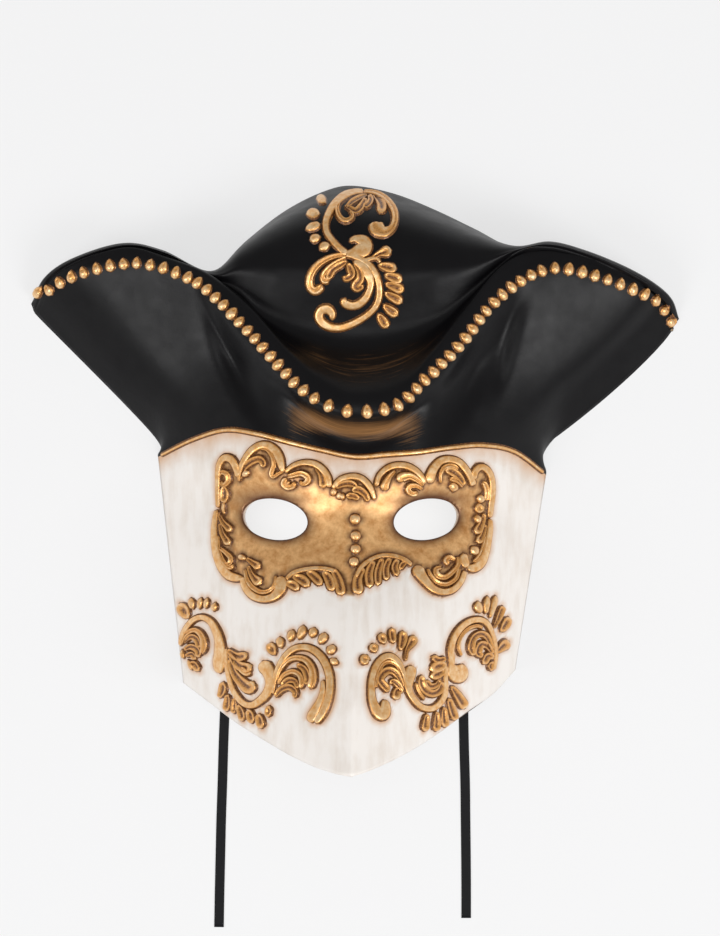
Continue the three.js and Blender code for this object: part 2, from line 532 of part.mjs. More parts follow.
// A tape laid along its stations; the leans turn it about its own run
function tie(stations) {
  const sections = stations.map(([x, y, z, lean], k) => {
    const before = stations[Math.max(0, k - 1)];
    const after = stations[Math.min(stations.length - 1, k + 1)];
    const run = new THREE.Vector3(after[0] - before[0], after[1] - before[1], after[2] - before[2]).normalize();
    const side = new THREE.Vector3(-run.y, run.x, 0).normalize().applyAxisAngle(run, radians(lean));
    const face = new THREE.Vector3().crossVectors(side, run).normalize();
    const middle = new THREE.Vector3(x, y - DRAWN_MIDDLE, z);
    return [[1, 1], [-1, 1], [-1, -1], [1, -1]].map(([a, b]) => middle.clone()
      .addScaledVector(side, (a * TIE_WIDTH) / 2)
      .addScaledVector(face, (b * TIE_THICKNESS) / 2));
  });
  const { points, faces } = loft(sections);
  return solidFrom(points, faces);
}

function piece(name, solid, color, roughness, metalness) {
  const material = new THREE.MeshStandardMaterial({ color, roughness, metalness });
  const mesh = new THREE.Mesh(toGeometry(solid), material);
  mesh.name = name;
  return mesh;
}

const bauta = new THREE.Group();
bauta.add(piece('mask_shell', makeMask(), 0xe9e2d9, 0.5, 0));
bauta.add(piece('ribbon_left', tie(LEFT_TIE), 0x222224, 0.6, 0));
bauta.add(piece('ribbon_right', tie(RIGHT_TIE), 0x222224, 0.6, 0));

export default bauta;
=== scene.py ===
# %% [markdown]
# # A bauta mask moulded in one with its tricorn hat
# The bauta is the white carnival mask whose jaw juts out like the bow of a boat, so that its wearer can
# talk and drink behind it. This one is a single shell of papier-mache with the front of a cocked hat
# moulded above the face. Plaster scrolls, a gold line and a row of gold drops are piped on, and two black
# tapes tie it on. It lies on its back rim. The fixed frame gives the place and size of everything.

# %% Load the fixed frame
import math

import bmesh
import bpy
import numpy as np
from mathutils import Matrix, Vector, noise
from mathutils.bvhtree import BVHTree
from mathutils.kdtree import KDTree


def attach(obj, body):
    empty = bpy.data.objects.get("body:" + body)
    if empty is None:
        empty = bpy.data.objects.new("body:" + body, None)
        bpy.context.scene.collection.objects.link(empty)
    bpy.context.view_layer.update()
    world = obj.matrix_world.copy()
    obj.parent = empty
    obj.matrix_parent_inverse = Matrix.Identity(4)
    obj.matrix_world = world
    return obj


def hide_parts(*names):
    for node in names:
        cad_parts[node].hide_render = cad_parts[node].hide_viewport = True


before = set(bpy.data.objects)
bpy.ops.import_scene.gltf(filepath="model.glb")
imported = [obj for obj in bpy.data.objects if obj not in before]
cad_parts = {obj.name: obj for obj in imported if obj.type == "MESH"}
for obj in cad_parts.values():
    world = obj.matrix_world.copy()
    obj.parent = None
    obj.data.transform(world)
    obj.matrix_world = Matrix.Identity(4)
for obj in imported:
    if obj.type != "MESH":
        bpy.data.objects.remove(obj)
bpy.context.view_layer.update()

MM = 0.001
print("the fixed frame holds", ", ".join(sorted(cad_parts)))

# %% [markdown]
# ## The camera
# The mask hangs upright in the picture, square to the lens. A mask that lies on its back is seen the same
# way by a camera straight above it. A long lens from a metre and a half keeps the jutting chin from
# looming. The lens is worked out from how much of the object one picture width covers at the height of the
# face.

# %% Hang the camera above the mask
PICTURE_WIDTH, PICTURE_HEIGHT = 720, 936
CAMERA_HEIGHT = 1500  # above the table, in millimetres
FACE_HEIGHT = 50  # the height at which the picture's scale was measured
PIXEL = 0.48  # millimetres of the face to a pixel of the picture
CAMERA_PLACE = (2.6, 0.7)
SENSOR = 36

camera_data = bpy.data.cameras.new("camera")
camera_data.sensor_fit = "HORIZONTAL"
camera_data.sensor_width = SENSOR
camera_data.lens = SENSOR * (CAMERA_HEIGHT - FACE_HEIGHT) / (PICTURE_WIDTH * PIXEL)
camera = bpy.data.objects.new("camera", camera_data)
camera.location = (CAMERA_PLACE[0] * MM, CAMERA_PLACE[1] * MM, CAMERA_HEIGHT * MM)
bpy.context.collection.objects.link(camera)
bpy.context.scene.camera = camera
print(f"lens {camera_data.lens:.0f} mm, a metre and a half above the table")

# %% [markdown]
# ## Smooth curves through a few points
# Tapes, brims and scrolls all follow smooth curves. One function gives the weight of each point at each
# place along a curve, so the same weights carry places, heights and widths. It works on whole arrays at
# once, which keeps a fine surface quick to make.

# %% A smooth curve through points
def curve_weights(knots, at):
    knots = np.asarray(knots, float)
    at = np.atleast_1d(np.asarray(at, float))
    gaps = np.diff(knots)
    one = np.eye(len(knots))
    chord = (one[1:] - one[:-1]) / gaps[:, None]
    inner = (chord[:-1] * gaps[1:, None] + chord[1:] * gaps[:-1, None]) / (gaps[1:] + gaps[:-1])[:, None]
    slope = np.vstack([chord[:1], inner, chord[-1:]])
    i = np.clip(np.searchsorted(knots, at) - 1, 0, len(gaps) - 1)
    h = gaps[i][:, None]
    s = ((at - knots[i]) / gaps[i])[:, None]
    return ((2 * s ** 3 - 3 * s ** 2 + 1) * one[i] + (s ** 3 - 2 * s ** 2 + s) * h * slope[i]
            + (3 * s ** 2 - 2 * s ** 3) * one[i + 1] + (s ** 3 - s ** 2) * h * slope[i + 1])


def along(points, t):
    """The places at t, from 0 to 1, on a smooth curve through the points."""
    points = np.asarray(points, float)
    return curve_weights(np.linspace(0, 1, len(points)), t) @ points


def bump(distance, width):
    return np.exp(-((distance / width) ** 2))


def grid_bmesh(columns, rows):
    """A flat grid, and the column and row of each of its vertices."""
    bm = bmesh.new()
    bmesh.ops.create_grid(bm, x_segments=columns, y_segments=rows, size=0.5)
    places = np.array([v.co for v in bm.verts])
    column = np.rint((places[:, 0] + 0.5) * columns).astype(int)
    row = np.rint((0.5 - places[:, 1]) * rows).astype(int)
    return bm, column, row


def thicken(bm, shift):
    """Close an open skin with a copy of itself, each vertex moved by shift, and a wall round its edges."""
    bm.normal_update()
    verts = bm.verts[:]
    sides = [(loop.vert, loop.link_loop_next.vert)
             for e in bm.edges if e.is_boundary for loop in e.link_loops]
    made = bmesh.ops.duplicate(bm, geom=verts + bm.edges[:] + bm.faces[:])
    twin = made["vert_map"]
    bmesh.ops.reverse_faces(bm, faces=[f for f in made["geom"] if isinstance(f, bmesh.types.BMFace)])
    for v in verts:
        twin[v].co = v.co + shift(v)
    for a, b in sides:
        bm.faces.new((b, a, twin[a], twin[b]))
    bm.normal_update()
    return [twin[v] for v in verts]


def finished(name, bm, materials):
    """Turn a bmesh into a piece that rides on the mask and is shaded smooth."""
    mesh = bpy.data.meshes.new(name)
    bm.to_mesh(mesh)
    bm.free()
    mesh.shade_smooth()
    piece = bpy.data.objects.new(name, mesh)
    bpy.context.collection.objects.link(piece)
    for material in materials:
        mesh.materials.append(material)
    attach(piece, "root")
    return piece

# %% [markdown]
# ## Materials in one small way
# Each finish is a tree of nodes. One function adds a node with its settings and inputs, and a few more add
# the nodes that every finish needs: noise, a blend of two colours, a fine relief. Another turns the hex
# colours that a paint box uses into the linear ones that a shader works in.

# %% Helpers for materials
def paint(hex_colour):
    """A linear colour from an sRGB hex value."""
    channels = [int(hex_colour[i:i + 2], 16) / 255 for i in (1, 3, 5)]
    linear = [c / 12.92 if c <= 0.04045 else ((c + 0.055) / 1.055) ** 2.4 for c in channels]
    return (*linear, 1.0)


def feed(tree, node, links):
    """Give each input of a node a value or another node's output."""
    for name, value in links.items():
        if isinstance(value, bpy.types.NodeSocket):
            tree.links.new(value, node.inputs[name])
        else:
            node.inputs[name].default_value = value


def add(tree, kind, links=None, **settings):
    """A node with its settings and its inputs fed."""
    made = tree.nodes.new(kind)
    for name, value in settings.items():
        setattr(made, name, value)
    feed(tree, made, links or {})
    return made


def grain(tree, vector, scale, detail, roughness=0.5):
    """Noise along a vector, from 0 to 1."""
    return add(tree, "ShaderNodeTexNoise", {"Vector": vector, "Scale": scale, "Detail": detail,
                                            "Roughness": roughness}).outputs["Fac"]


def spread(tree, value, low, high, to_low=0.0, to_high=1.0):
    """A value carried from one span to another and held within it."""
    return add(tree, "ShaderNodeMapRange", {"Value": value, "From Min": low, "From Max": high,
                                            "To Min": to_low, "To Max": to_high}).outputs["Result"]


def reckon(tree, operation, *values):
    """A sum, a product or the greater of some values."""
    return add(tree, "ShaderNodeMath", dict(enumerate(values)), operation=operation).outputs["Value"]


def blend(tree, factor, first, second):
    """From one colour to another; a colour is a hex value or a node's output."""
    first, second = (paint(colour) if isinstance(colour, str) else colour for colour in (first, second))
    return add(tree, "ShaderNodeMix", {"Factor": factor, "A": first, "B": second},
               data_type="RGBA").outputs["Result"]


def relief(tree, height, strength, distance, over=None):
    """A fine relief so many millimetres deep, on top of another where one is given."""
    links = {"Height": height, "Strength": strength, "Distance": distance * MM}
    if over:
        links["Normal"] = over
    return add(tree, "ShaderNodeBump", links).outputs["Normal"]


def on_object(tree):
    return add(tree, "ShaderNodeTexCoord").outputs["Object"]


def attribute(tree, name):
    return add(tree, "ShaderNodeAttribute", attribute_name=name).outputs["Fac"]


def new_material(name):
    """An empty material with only its shader and output."""
    material = bpy.data.materials.new(name)
    material.use_nodes = True
    tree = material.node_tree
    tree.nodes.clear()
    shader = add(tree, "ShaderNodeBsdfPrincipled")
    add(tree, "ShaderNodeOutputMaterial", {"Surface": shader.outputs["BSDF"]})
    return material, tree, shader

# %% [markdown]
# ## Woven satin tape
# The ties are flat black tape, woven of fine viscose thread. The threads float over each other in short
# steps, which gives a soft sheen along the tape and a fine rib across it. The real rib is 0.3 mm apart and
# is drawn at 0.6 mm, as fine as the picture can show.

# %% The tape's finish
RIB = 0.6 * MM


def woven_tape():
    material, tree, shader = new_material("woven_black_satin_tape")
    place = on_object(tree)
    ribs = add(tree, "ShaderNodeTexWave", {"Vector": place, "Scale": 1 / (RIB * 20), "Distortion": 0.4},
               bands_direction="Y", wave_profile="SIN")
    feed(tree, shader, {
        "Base Color": blend(tree, grain(tree, place, 900, 3), "#0d0d0f", "#141417"),
        "Normal": relief(tree, ribs.outputs["Fac"], 0.35, 0.1),
        "Roughness": 0.5, "Sheen Weight": 0.03, "Specular IOR Level": 0.15,
    })
    return material


TAPE = woven_tape()

# %% [markdown]
# ## The two ties
# Each tie is glued flat inside the shell beside an eye. It droops to the table and runs out below the chin
# to a plain cut end. Its route is the same list of places as in the solid model: across, up, height and how
# far the tape leans, because its glued end follows the slope of the wall. The tape is a narrow grid bent
# along the route and given a thickness.

# %% Lay the ties along their routes
DRAWN_MIDDLE = 5.5  # the drawing's origin sits this far below the middle of the outline
TIE_WIDTH = 4.8
TIE_THICKNESS = 0.5
LEFT_TIE = [
    (-60, 8, 33.2, 41), (-60, 0, 31.3, 41), (-60.1, -8, 30.4, 41), (-60.3, -16, 29, 38),
    (-60.5, -24, 25.5, 32), (-60.7, -32, 20, 24), (-61, -40, 14, 16), (-61.3, -48, 8.6, 9),
    (-61.7, -56, 4.4, 4), (-62, -64, 1.8, 1), (-62.4, -72, 0.7, 0), (-62.8, -80, 0.35, 0),
    (-63.3, -90, 0.3, 0), (-63.9, -102, 0.3, 0), (-64.6, -116, 0.3, 0), (-65.2, -132, 0.3, 0),
    (-65.7, -150, 0.3, 0), (-66.3, -168, 0.3, 0), (-66.7, -186, 0.3, 0), (-67.1, -204, 0.3, 0),
    (-67.4, -221.7, 0.3, 0),
]
RIGHT_TIE = [
    (52.5, 8, 39.7, -38), (52.5, 0, 38.4, -38), (52.5, -8, 36.2, -38), (52.6, -16, 33.9, -35),
    (52.7, -24, 29.3, -30), (52.8, -32, 23, -23), (52.9, -40, 16.4, -15), (53.1, -48, 10.3, -8),
    (53.3, -56, 5.5, -4), (53.5, -64, 2.3, -1), (53.6, -72, 0.9, 0), (53.7, -80, 0.4, 0),
    (53.8, -90, 0.3, 0), (53.9, -102, 0.3, 0), (54, -116, 0.3, 0), (54.3, -132, 0.3, 0),
    (54.8, -150, 0.3, 0), (55, -168, 0.3, 0), (55.2, -186, 0.3, 0), (55.3, -202, 0.3, 0),
    (55.3, -217.2, 0.3, 0),
]
TIE_STEPS, TIE_STRANDS = 180, 8


def lay_tie(node, route):
    route = along(route, np.linspace(0, 1, TIE_STEPS + 1))
    middle = route[:, :3] - (0, DRAWN_MIDDLE, 0)
    run = np.gradient(middle, axis=0)
    run /= np.linalg.norm(run, axis=1)[:, None]
    level = np.stack([-run[:, 1], run[:, 0], np.zeros(len(run))], 1)
    level /= np.linalg.norm(level, axis=1)[:, None]
    lean = np.radians(route[:, 3])[:, None]
    side = level * np.cos(lean) + np.cross(run, level) * np.sin(lean)
    face = np.cross(run, side)
    bm, column, row = grid_bmesh(TIE_STRANDS, TIE_STEPS)
    offset = (column / TIE_STRANDS - 0.5) * TIE_WIDTH
    places = middle[row] + side[row] * offset[:, None] + face[row] * TIE_THICKNESS / 2
    for v, place in zip(bm.verts, places * MM):
        v.co = place
    thicken(bm, lambda v: v.normal * -TIE_THICKNESS * MM)
    tie = finished(node + "_tape", bm, [TAPE])
    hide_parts(node)
    return tie


lay_tie("ribbon_left", LEFT_TIE)
lay_tie("ribbon_right", RIGHT_TIE)

# %% [markdown]
# ## The lines of the form
# The shell is drawn by its feature lines, as a mask maker would mark them on the clay: the back edge of the
# hat, the crease at the foot of the crown, the crest of the turned-up lip, the row of drops, the lower edge
# of the hat and the hem below the chin. Each line runs from the left tip to the middle and on to the right
# tip, in millimetres. These are the lines of the solid model, so the fine surface keeps its form.

# %% Draw the feature lines
WALL = 2.5  # the thickness of the papier-mache
EYE_LENGTH, EYE_HEIGHT, EYE_TILT = 32, 19.5, 8
EYES = [(-38.4, -1), (34.6, 1)]  # the middle across the face, and the way each eye tilts
EYE_Y = -18.4
BACK_EDGE = (
    [(-160.7, 87.7, 0), (-153.8, 100.4, 0), (-138.9, 109.6, 0), (-114, 116.8, 0), (-94.2, 113.2, 0),
     (-70.8, 103.1, 0), (-54.5, 118.5, 0), (-34.6, 133.9, 0), (-14.7, 143.8, 0), (0.2, 146.3, 0)],
    [(20, 142.3, 0), (39.9, 134.4, 0), (59.7, 124.9, 0), (79.1, 115.5, 0), (96, 117.6, 0),
     (114.4, 113, 0), (134.2, 105.2, 0), (149.1, 97.2, 0), (157.6, 89.7, 0), (161, 80.2, 0)])
CROWN_CREASE = (
    [(-159.2, 83.7, 0), (-150.3, 97.7, 14), (-135.5, 106.8, 25), (-111.2, 113.2, 31), (-90.9, 109, 36),
     (-68, 97.6, 39), (-56.3, 91.2, 41), (-44.7, 79.6, 42), (-23.9, 69.4, 44), (0.2, 64.5, 45)],
    [(21.9, 67.9, 44), (41.2, 76.7, 43), (55.7, 89.3, 42), (77.1, 108.8, 39), (92.8, 112.4, 36),
     (111, 108.8, 32), (130.4, 101.3, 27), (145.4, 93.6, 18), (154.2, 86.7, 9), (159.1, 77.7, 0)])
LIP_CREST = (
    [(-157.7, 81.7, 0), (-148.7, 96.6, 16), (-133.9, 105.2, 27), (-110.4, 111.5, 34), (-90.2, 106.3, 40),
     (-70.6, 98.3, 44), (-50.1, 81, 52), (-31.6, 60.5, 62), (-15.9, 47, 67), (1.2, 40.3, 71)],
    [(21.6, 44.2, 67), (36, 58.6, 61), (50.5, 76.1, 54), (67.1, 96.7, 46), (84.8, 106.8, 40),
     (99.6, 109, 36), (116.9, 105.9, 31), (137, 97.6, 24), (151.1, 89.1, 10), (158.1, 75.8, 0)])
BEAD_LINE = (
    [(-155.3, 79.2, 0), (-146.7, 93.7, 16), (-131.4, 101.3, 28), (-106.9, 105.6, 36), (-85.1, 100.3, 43),
     (-71, 91.9, 47), (-54.8, 76.1, 54), (-35.9, 55.2, 63), (-21, 40.8, 69), (-2.1, 33.2, 73)],
    [(19.2, 35.6, 70), (32.1, 47.1, 64), (49, 64, 57), (66.1, 85.1, 48), (83.2, 98.4, 42),
     (99.4, 103, 38), (120.8, 98.6, 31), (140.1, 91.9, 22), (150.6, 86.1, 10), (157.1, 73.8, 0)])
RIM_LINE = (
    [(-97.7, 11.7), (-79.5, 20), (-62.5, 24.6), (-47, 22.6), (-31, 18.4), (-15.5, 14.6), (0.3, 11.5)],
    [(15.5, 12.6), (31, 13.8), (46.5, 16), (62, 17.2), (78.4, 14.1), (95, 2.8)])
HEM = (
    [(-85.2, -100.5), (-70.5, -109), (-56.5, -117), (-42.5, -123.5), (-28.5, -129.5), (-14.5, -133.8),
     (-1, -135.3)],
    [(13, -131.6), (27, -126.2), (40.5, -119.5), (54, -111.5), (67.5, -104.5), (79.8, -94)])
HAT_STEPS = [0, 0.12, 0.3, 0.5, 0.64, 0.7, 0.85, 1]
PROFILE_STEPS = [0, 0.1, 0.2, 0.28, 0.36, 0.45, 0.6, 0.76, 1]
PROFILE = [60, 63, 60.5, 62, 69, 78, 90, 100, 112]
TUCK_PLACE = 0.94  # how far down a wing's lower edge it is drawn in most
TUCK_LEFT, TUCK_RIGHT = 8, 13.5
BELLY_RIGHT = 4  # how far the right wing's lower edge sags above that
FOLD_PLACE, FOLD_WIDTH = 0.47, 0.07  # the fold across each wing
FOLD_LEFT, FOLD_RIGHT = 5, 3  # how deep it is
BULGE_PLACE, BULGE_WIDTH, BULGE = 0.27, 0.1, 4  # the swelling beside it
COVE_DEPTH = 8  # the hollow under the lip
CROWN_SWELL, CROWN_DEPTH = 5, 60  # how far the crown swells, where it is at least so deep
SHOULDER_PLACE, SHOULDER_HEIGHT, DOME_PLACE = 0.16, 0.72, 0.55  # between the back edge and the crease
FOREHEAD_ROUND, PROW_ROUND = 2.3, 1.25  # the roundness of the face across
NOSE_RISE, NOSE_REACH, NOSE_Y = 6, (10, 19), -27
SOCKET_DEPTH, SOCKET_REACH = 4, (15, 10)
DENT_X, DENT_Y, DENT_WIDTH, DENT_LENGTH, DENT_DEPTH = 72, 64, 5, 22, 3  # a press mark on the right wing
DENT_LEAN = 0.2


def feature_line(halves):
    left, right = halves
    points = np.array(left + right, float)
    middle = len(left) - 1
    knots = [i / middle - 1 if i <= middle else (i - middle) / len(right) for i in range(len(points))]
    return lambda u: curve_weights(knots, u) @ points


back_edge, crown_crease, lip_crest, bead_line, rim_line, hem = (
    feature_line(halves) for halves in (BACK_EDGE, CROWN_CREASE, LIP_CREST, BEAD_LINE, RIM_LINE, HEM))
print("six feature lines, the longest with", sum(map(len, BACK_EDGE)), "points")

# %% [markdown]
# ## From lines to a surface
# Below the gold line the face is a roof that rises to the prow and rounds off towards the sides, with a low
# nose and two shallow sockets. Above it the hat swells over the crown, dips into the gutter behind the lip
# and rolls over the crest into a cove. Every place has an address: u across from tip to tip, and w down
# from the back edge of the hat over the gold line to the hem.

# %% Work out the surface
def lerp(a, b, t):
    return a + (b - a) * t


def face_skin(u, s):
    s = np.asarray(s, float)[:, None]
    flat = lerp(rim_line(u), hem(u), s[..., None])
    x, y = flat[..., 0], flat[..., 1]
    away = np.abs(u)[None]
    ridge = curve_weights(PROFILE_STEPS, s[:, 0]) @ np.array(PROFILE, float)[:, None]
    roundness = lerp(FOREHEAD_ROUND, PROW_ROUND, s ** 0.8)
    nose = NOSE_RISE * bump(x, NOSE_REACH[0]) * bump(y - NOSE_Y, NOSE_REACH[1])
    beside_eyes = sum(bump(x - middle, SOCKET_REACH[0]) for middle, _ in EYES)
    sockets = SOCKET_DEPTH * beside_eyes * bump(y - EYE_Y, SOCKET_REACH[1])
    z = ridge * (1 - away ** roundness) + (1 - away ** 6) * (nose - sockets)
    return np.dstack([x, y, z])


def hat_skin(u, v):
    back, crease, crest, beads = (line(u) for line in (back_edge, crown_crease, lip_crest, bead_line))
    rim = face_skin(u, [0])[0]
    away = np.abs(u)
    crown = np.minimum(1, np.hypot(*(crease - back)[:, :2].T) / CROWN_DEPTH)
    shoulder = lerp(back, crease, SHOULDER_PLACE)
    shoulder[:, 2] = crease[:, 2] * SHOULDER_HEIGHT
    dome = lerp(back, crease, DOME_PLACE)
    dome[:, 2] = crease[:, 2] + CROWN_SWELL * crown * (1 - away ** 4)
    cove = lerp(beads, rim, (0.5 + (TUCK_PLACE - 0.5) * away ** 6)[:, None])
    cove[:, 1] += np.where(u < 0, TUCK_LEFT, TUCK_RIGHT) * away ** 6
    cove[:, 2] -= COVE_DEPTH * (1 - away ** 4) * (1 - 0.4 * away)
    cove[:, 2] += BULGE * bump(away - BULGE_PLACE, BULGE_WIDTH)
    cove[:, 2] -= np.where(u < 0, FOLD_LEFT, FOLD_RIGHT) * bump(away - FOLD_PLACE, FOLD_WIDTH)
    lines = np.stack([back, shoulder, dome, crease, crest, beads, cove, rim])
    places = np.einsum("ml,lnd->mnd", curve_weights(HAT_STEPS, v), lines)
    belly = np.sin(np.pi * np.clip((v - 0.7) / 0.15, 0, 1))
    places[..., 1] -= BELLY_RIGHT * belly[:, None] * np.where(u > 0, away ** 6, 0)
    return places


def skin(u, w):
    places = np.concatenate([hat_skin(u, w[w <= 1]), face_skin(u, w[w > 1] - 1)])
    x, y = places[..., 0], places[..., 1]
    dent = DENT_DEPTH * bump(x - DENT_X - DENT_LEAN * (y - DENT_Y), DENT_WIDTH)
    dent *= np.exp(-((y - DENT_Y) / DENT_LENGTH) ** 4)
    places[..., 2] -= dent * ((w > HAT_STEPS[5]) & (w < 1))[:, None]
    places[..., 1] -= DRAWN_MIDDLE
    places[..., 2] = np.maximum(places[..., 2], 0)
    return places


COLUMNS = 190
ROWS = np.concatenate([np.linspace(0, 0.5, 38, endpoint=False), np.linspace(0.5, 0.72, 40, endpoint=False),
                       np.linspace(0.72, 1, 24, endpoint=False), np.linspace(1, 2, 101)])
ACROSS = np.linspace(-1, 1, COLUMNS + 1)
PLACES = skin(ACROSS, ROWS)
print("the surface spans", np.ptp(PLACES.reshape(-1, 3), axis=0).round(1), "mm")

# %% [markdown]
# ## Cast the shell
# Papier-mache is pressed into a plaster mould in layers, so it is one wall of even thickness, slightly
# uneven on its surface and hollow behind. The surface becomes a fine grid, with a little unevenness. The
# eyes are cut out, and the edge of each cut is drawn onto an ellipse. A copy of the skin a wall's thickness
# inside closes it round the eyes and the hem, and whatever would sink below the back rim is pressed flat on
# the table.

# %% Make the wall
UNEVEN = 0.22  # millimetres


def in_eye(places):
    """How far a place is from the middle of the nearest eye, where 1 is the edge of the hole."""
    reach = []
    for middle, way in EYES:
        tilt = math.radians(EYE_TILT * way)
        x = places[..., 0] - middle
        y = places[..., 1] - EYE_Y + DRAWN_MIDDLE
        longways = x * math.cos(tilt) + y * math.sin(tilt)
        upright = y * math.cos(tilt) - x * math.sin(tilt)
        reach.append(np.hypot(longways / (EYE_LENGTH / 2), upright / (EYE_HEIGHT / 2)))
    return np.minimum(*reach)


def cast_shell():
    bm, column, row = grid_bmesh(COLUMNS, len(ROWS) - 1)
    flow_u = bm.verts.layers.float.new("flow_u")
    flow_w = bm.verts.layers.float.new("flow_w")
    places = PLACES[row, column].copy()
    border = (row == 0) | (column == 0) | (column == COLUMNS)
    for k, place in enumerate(places):
        if not border[k]:
            place[2] += UNEVEN * noise.fractal(Vector(place) / 26, 0.8, 2.0, 3)
    reach = in_eye(places)
    for v, place, u, w in zip(bm.verts, places * MM, ACROSS[column], ROWS[row]):
        v.co = place
        v[flow_u] = u
        v[flow_w] = w
    for f in bm.faces:
        f.material_index = 0 if np.mean([v[flow_w] for v in f.verts]) < 1 else 1
    bm.normal_update()
    whole = BVHTree.FromBMesh(bm)
    bm.verts.ensure_lookup_table()
    inside = {bm.verts[k] for k in np.flatnonzero(reach < 1)}
    bmesh.ops.delete(bm, geom=[f for f in bm.faces if sum(v in inside for v in f.verts) > 2], context="FACES")
    return bm, whole


shell_bm, on_whole = cast_shell()
print(len(shell_bm.faces), "faces in the outer skin")

# %% [markdown]
# ## Eye holes and thickness
# On the real mask the eyes are cut with a knife while the paper is still damp, so their edges are clean and
# square. Here the ragged edge of each hole is drawn onto an ellipse. The inside follows the outside, softened,
# because wet paper pressed into a mould keeps none of the finer form on its back.

# %% Cut the eyes and give the wall its thickness
DOWNWARDS = Vector((0, 0, -1))
ABOVE_ALL = 0.3  # metres
LEAST_WALL = 0.8  # millimetres of pulp left where the skin folds back on itself
EYE_BORDER = 1.3  # loose edges this near to an eye, in its own radii, belong to it


def from_above(x, y):
    """Where a line straight down meets the outer skin, in metres, and which way the skin faces there."""
    hit, normal, _, _ = on_whole.ray_cast(Vector((x, y, ABOVE_ALL)), DOWNWARDS)
    return hit, normal


def inwards(v):
    """A wall's thickness inwards, or less where the skin folds back on itself."""
    hit, _, _, room = on_whole.ray_cast(v.co - v.normal * 0.3 * MM, -v.normal, 2 * WALL * MM)
    return v.normal * -(min(WALL * MM, 0.45 * room) if hit else WALL * MM)


def close_shell(bm):
    for loop in {v for e in bm.edges if e.is_boundary for v in e.verts}:
        place = np.array(loop.co) / MM
        reach = in_eye(place)
        if reach > EYE_BORDER:
            continue
        middle, _ = min(EYES, key=lambda eye: abs(eye[0] - place[0]))
        centre = np.array([middle, EYE_Y - DRAWN_MIDDLE])
        place[:2] = centre + (place[:2] - centre) / reach
        loop.co, _ = from_above(*place[:2] * MM)
    outside = bm.verts.layers.float.new("outside")
    flow_w = bm.verts.layers.float["flow_w"]
    edge = [v.is_boundary for v in bm.verts]
    back = thicken(bm, inwards)
    slack = [v for v, at_edge in zip(back, edge) if not at_edge]
    for _ in range(2):
        bmesh.ops.smooth_vert(bm, verts=slack, factor=0.5, use_axis_x=True, use_axis_y=True, use_axis_z=True)
    for v in bm.verts:
        v[outside] = 1
    for v in back:
        v[outside] = 0
    for v in slack:
        over, facing = from_above(v.co.x, v.co.y)
        if over:
            v.co.z = min(v.co.z, over.z - LEAST_WALL * MM / max(facing.z, 0.15))
        else:
            near, facing, _, _ = on_whole.find_nearest(v.co)
            v.co = near - facing * LEAST_WALL * MM
    for v in back:
        v.co.z = max(v.co.z, 0)
    for f in bm.faces:
        if not any(v[outside] for v in f.verts):
            f.material_index = 2
        elif not all(v[outside] for v in f.verts):
            f.material_index = int(np.mean([v[flow_w] for v in f.verts]) > 1)
    print(len(bm.faces), "faces in the closed wall,", sum(not e.is_manifold for e in bm.edges), "open edges")
    return bm


close_shell(shell_bm)

# %% [markdown]
# ## Where plaster sits on the wall
# The scrolls are gesso, piped on like icing or pressed in a small mould and glued to the wall. They are
# drawn on an enlarged sheet that is held square in front of the mask, as a carver holds up a tracing. A
# line of sight from the camera through the sheet shows where each point falls on the wall. Every stroke is
# a smooth line with a width that swells and thins along it. A narrow grid is bent along it, laid on the
# wall and raised by a cross-section. A narrow flat ring round it carries the dark wash. Its rim sinks into
# the wall, and it is closed underneath.

# %% Find places on the wall
def met(hit, normal, else_near):
    """The place that was met, or else the nearest one on the wall, and which way the wall faces there."""
    if hit is None:
        hit, normal, _, _ = on_whole.find_nearest(Vector(else_near))
    return hit, normal if normal.z > 0 else -normal


def on_wall(x, y):
    """Where a place seen from straight above meets the wall, in metres."""
    x, y = x * MM, (y - DRAWN_MIDDLE) * MM
    return met(*from_above(x, y), (x, y, 0.01))


def held_up(left, top, steps):
    """A drawing sheet with its corner at a place in the picture and so many steps to one of the picture's."""
    def place(x, y):
        aside = (left + x / steps - PICTURE_WIDTH / 2) * PIXEL
        down = (top + y / steps - PICTURE_HEIGHT / 2) * PIXEL
        sight = Vector((aside, -down, FACE_HEIGHT - CAMERA_HEIGHT)).normalized()
        hit, normal, _, _ = on_whole.ray_cast(camera.location, sight)
        return met(hit, normal, camera.location + sight * (camera.location.z - 0.02) / -sight.z)
    return place, PIXEL / steps


CROWN_SHEET = held_up(290, 180, 9.5)
LEFT_EYE_SHEET = held_up(205, 435, 8.96)
RIGHT_EYE_SHEET = held_up(345, 435, 8.96)
LEFT_CHEEK_SHEET = held_up(170, 585, 8.71)
RIGHT_CHEEK_SHEET = held_up(350, 585, 8.71)
FROM_ABOVE = (on_wall, 1)
print("the crown's sheet begins at", [round(c / MM) for c in CROWN_SHEET[0](0, 0)[0]])

# %% [markdown]
# ## A stroke of plaster
# A stroke piped on a real mask starts blunt, keeps its width and ends in a point. A small tool then presses a
# groove in it. So each kind of stroke has a section, a groove and two ends. The noise stands for a hand's
# unevenness. Each stroke also leaves a trail of places, which tell the painter where the wash and the painted
# shade gather.

# %% Lay one stroke of plaster
SINK = 0.7
STRANDS = 10
STEP = 0.5
RING = 0.5  # the line of wash round every stroke
FLUSH = 0.08  # how far it stands off the wall
SOFT = 0.6  # how far in from its edge a stroke is darkened
TRAILS = []  # places along every stroke and how wide it is there, for the wash and painted shade beside it


def all_along(from_head, from_tail, half):
    return np.ones(len(half))


def inside_rim(from_head, from_tail, half):
    return np.clip(np.minimum(from_head, from_tail) / (0.9 * half) - 0.3, 0, 1)


def at_tip(from_head, from_tail, half):
    return bump(from_tail / (from_head + from_tail) - 0.27, 0.13)


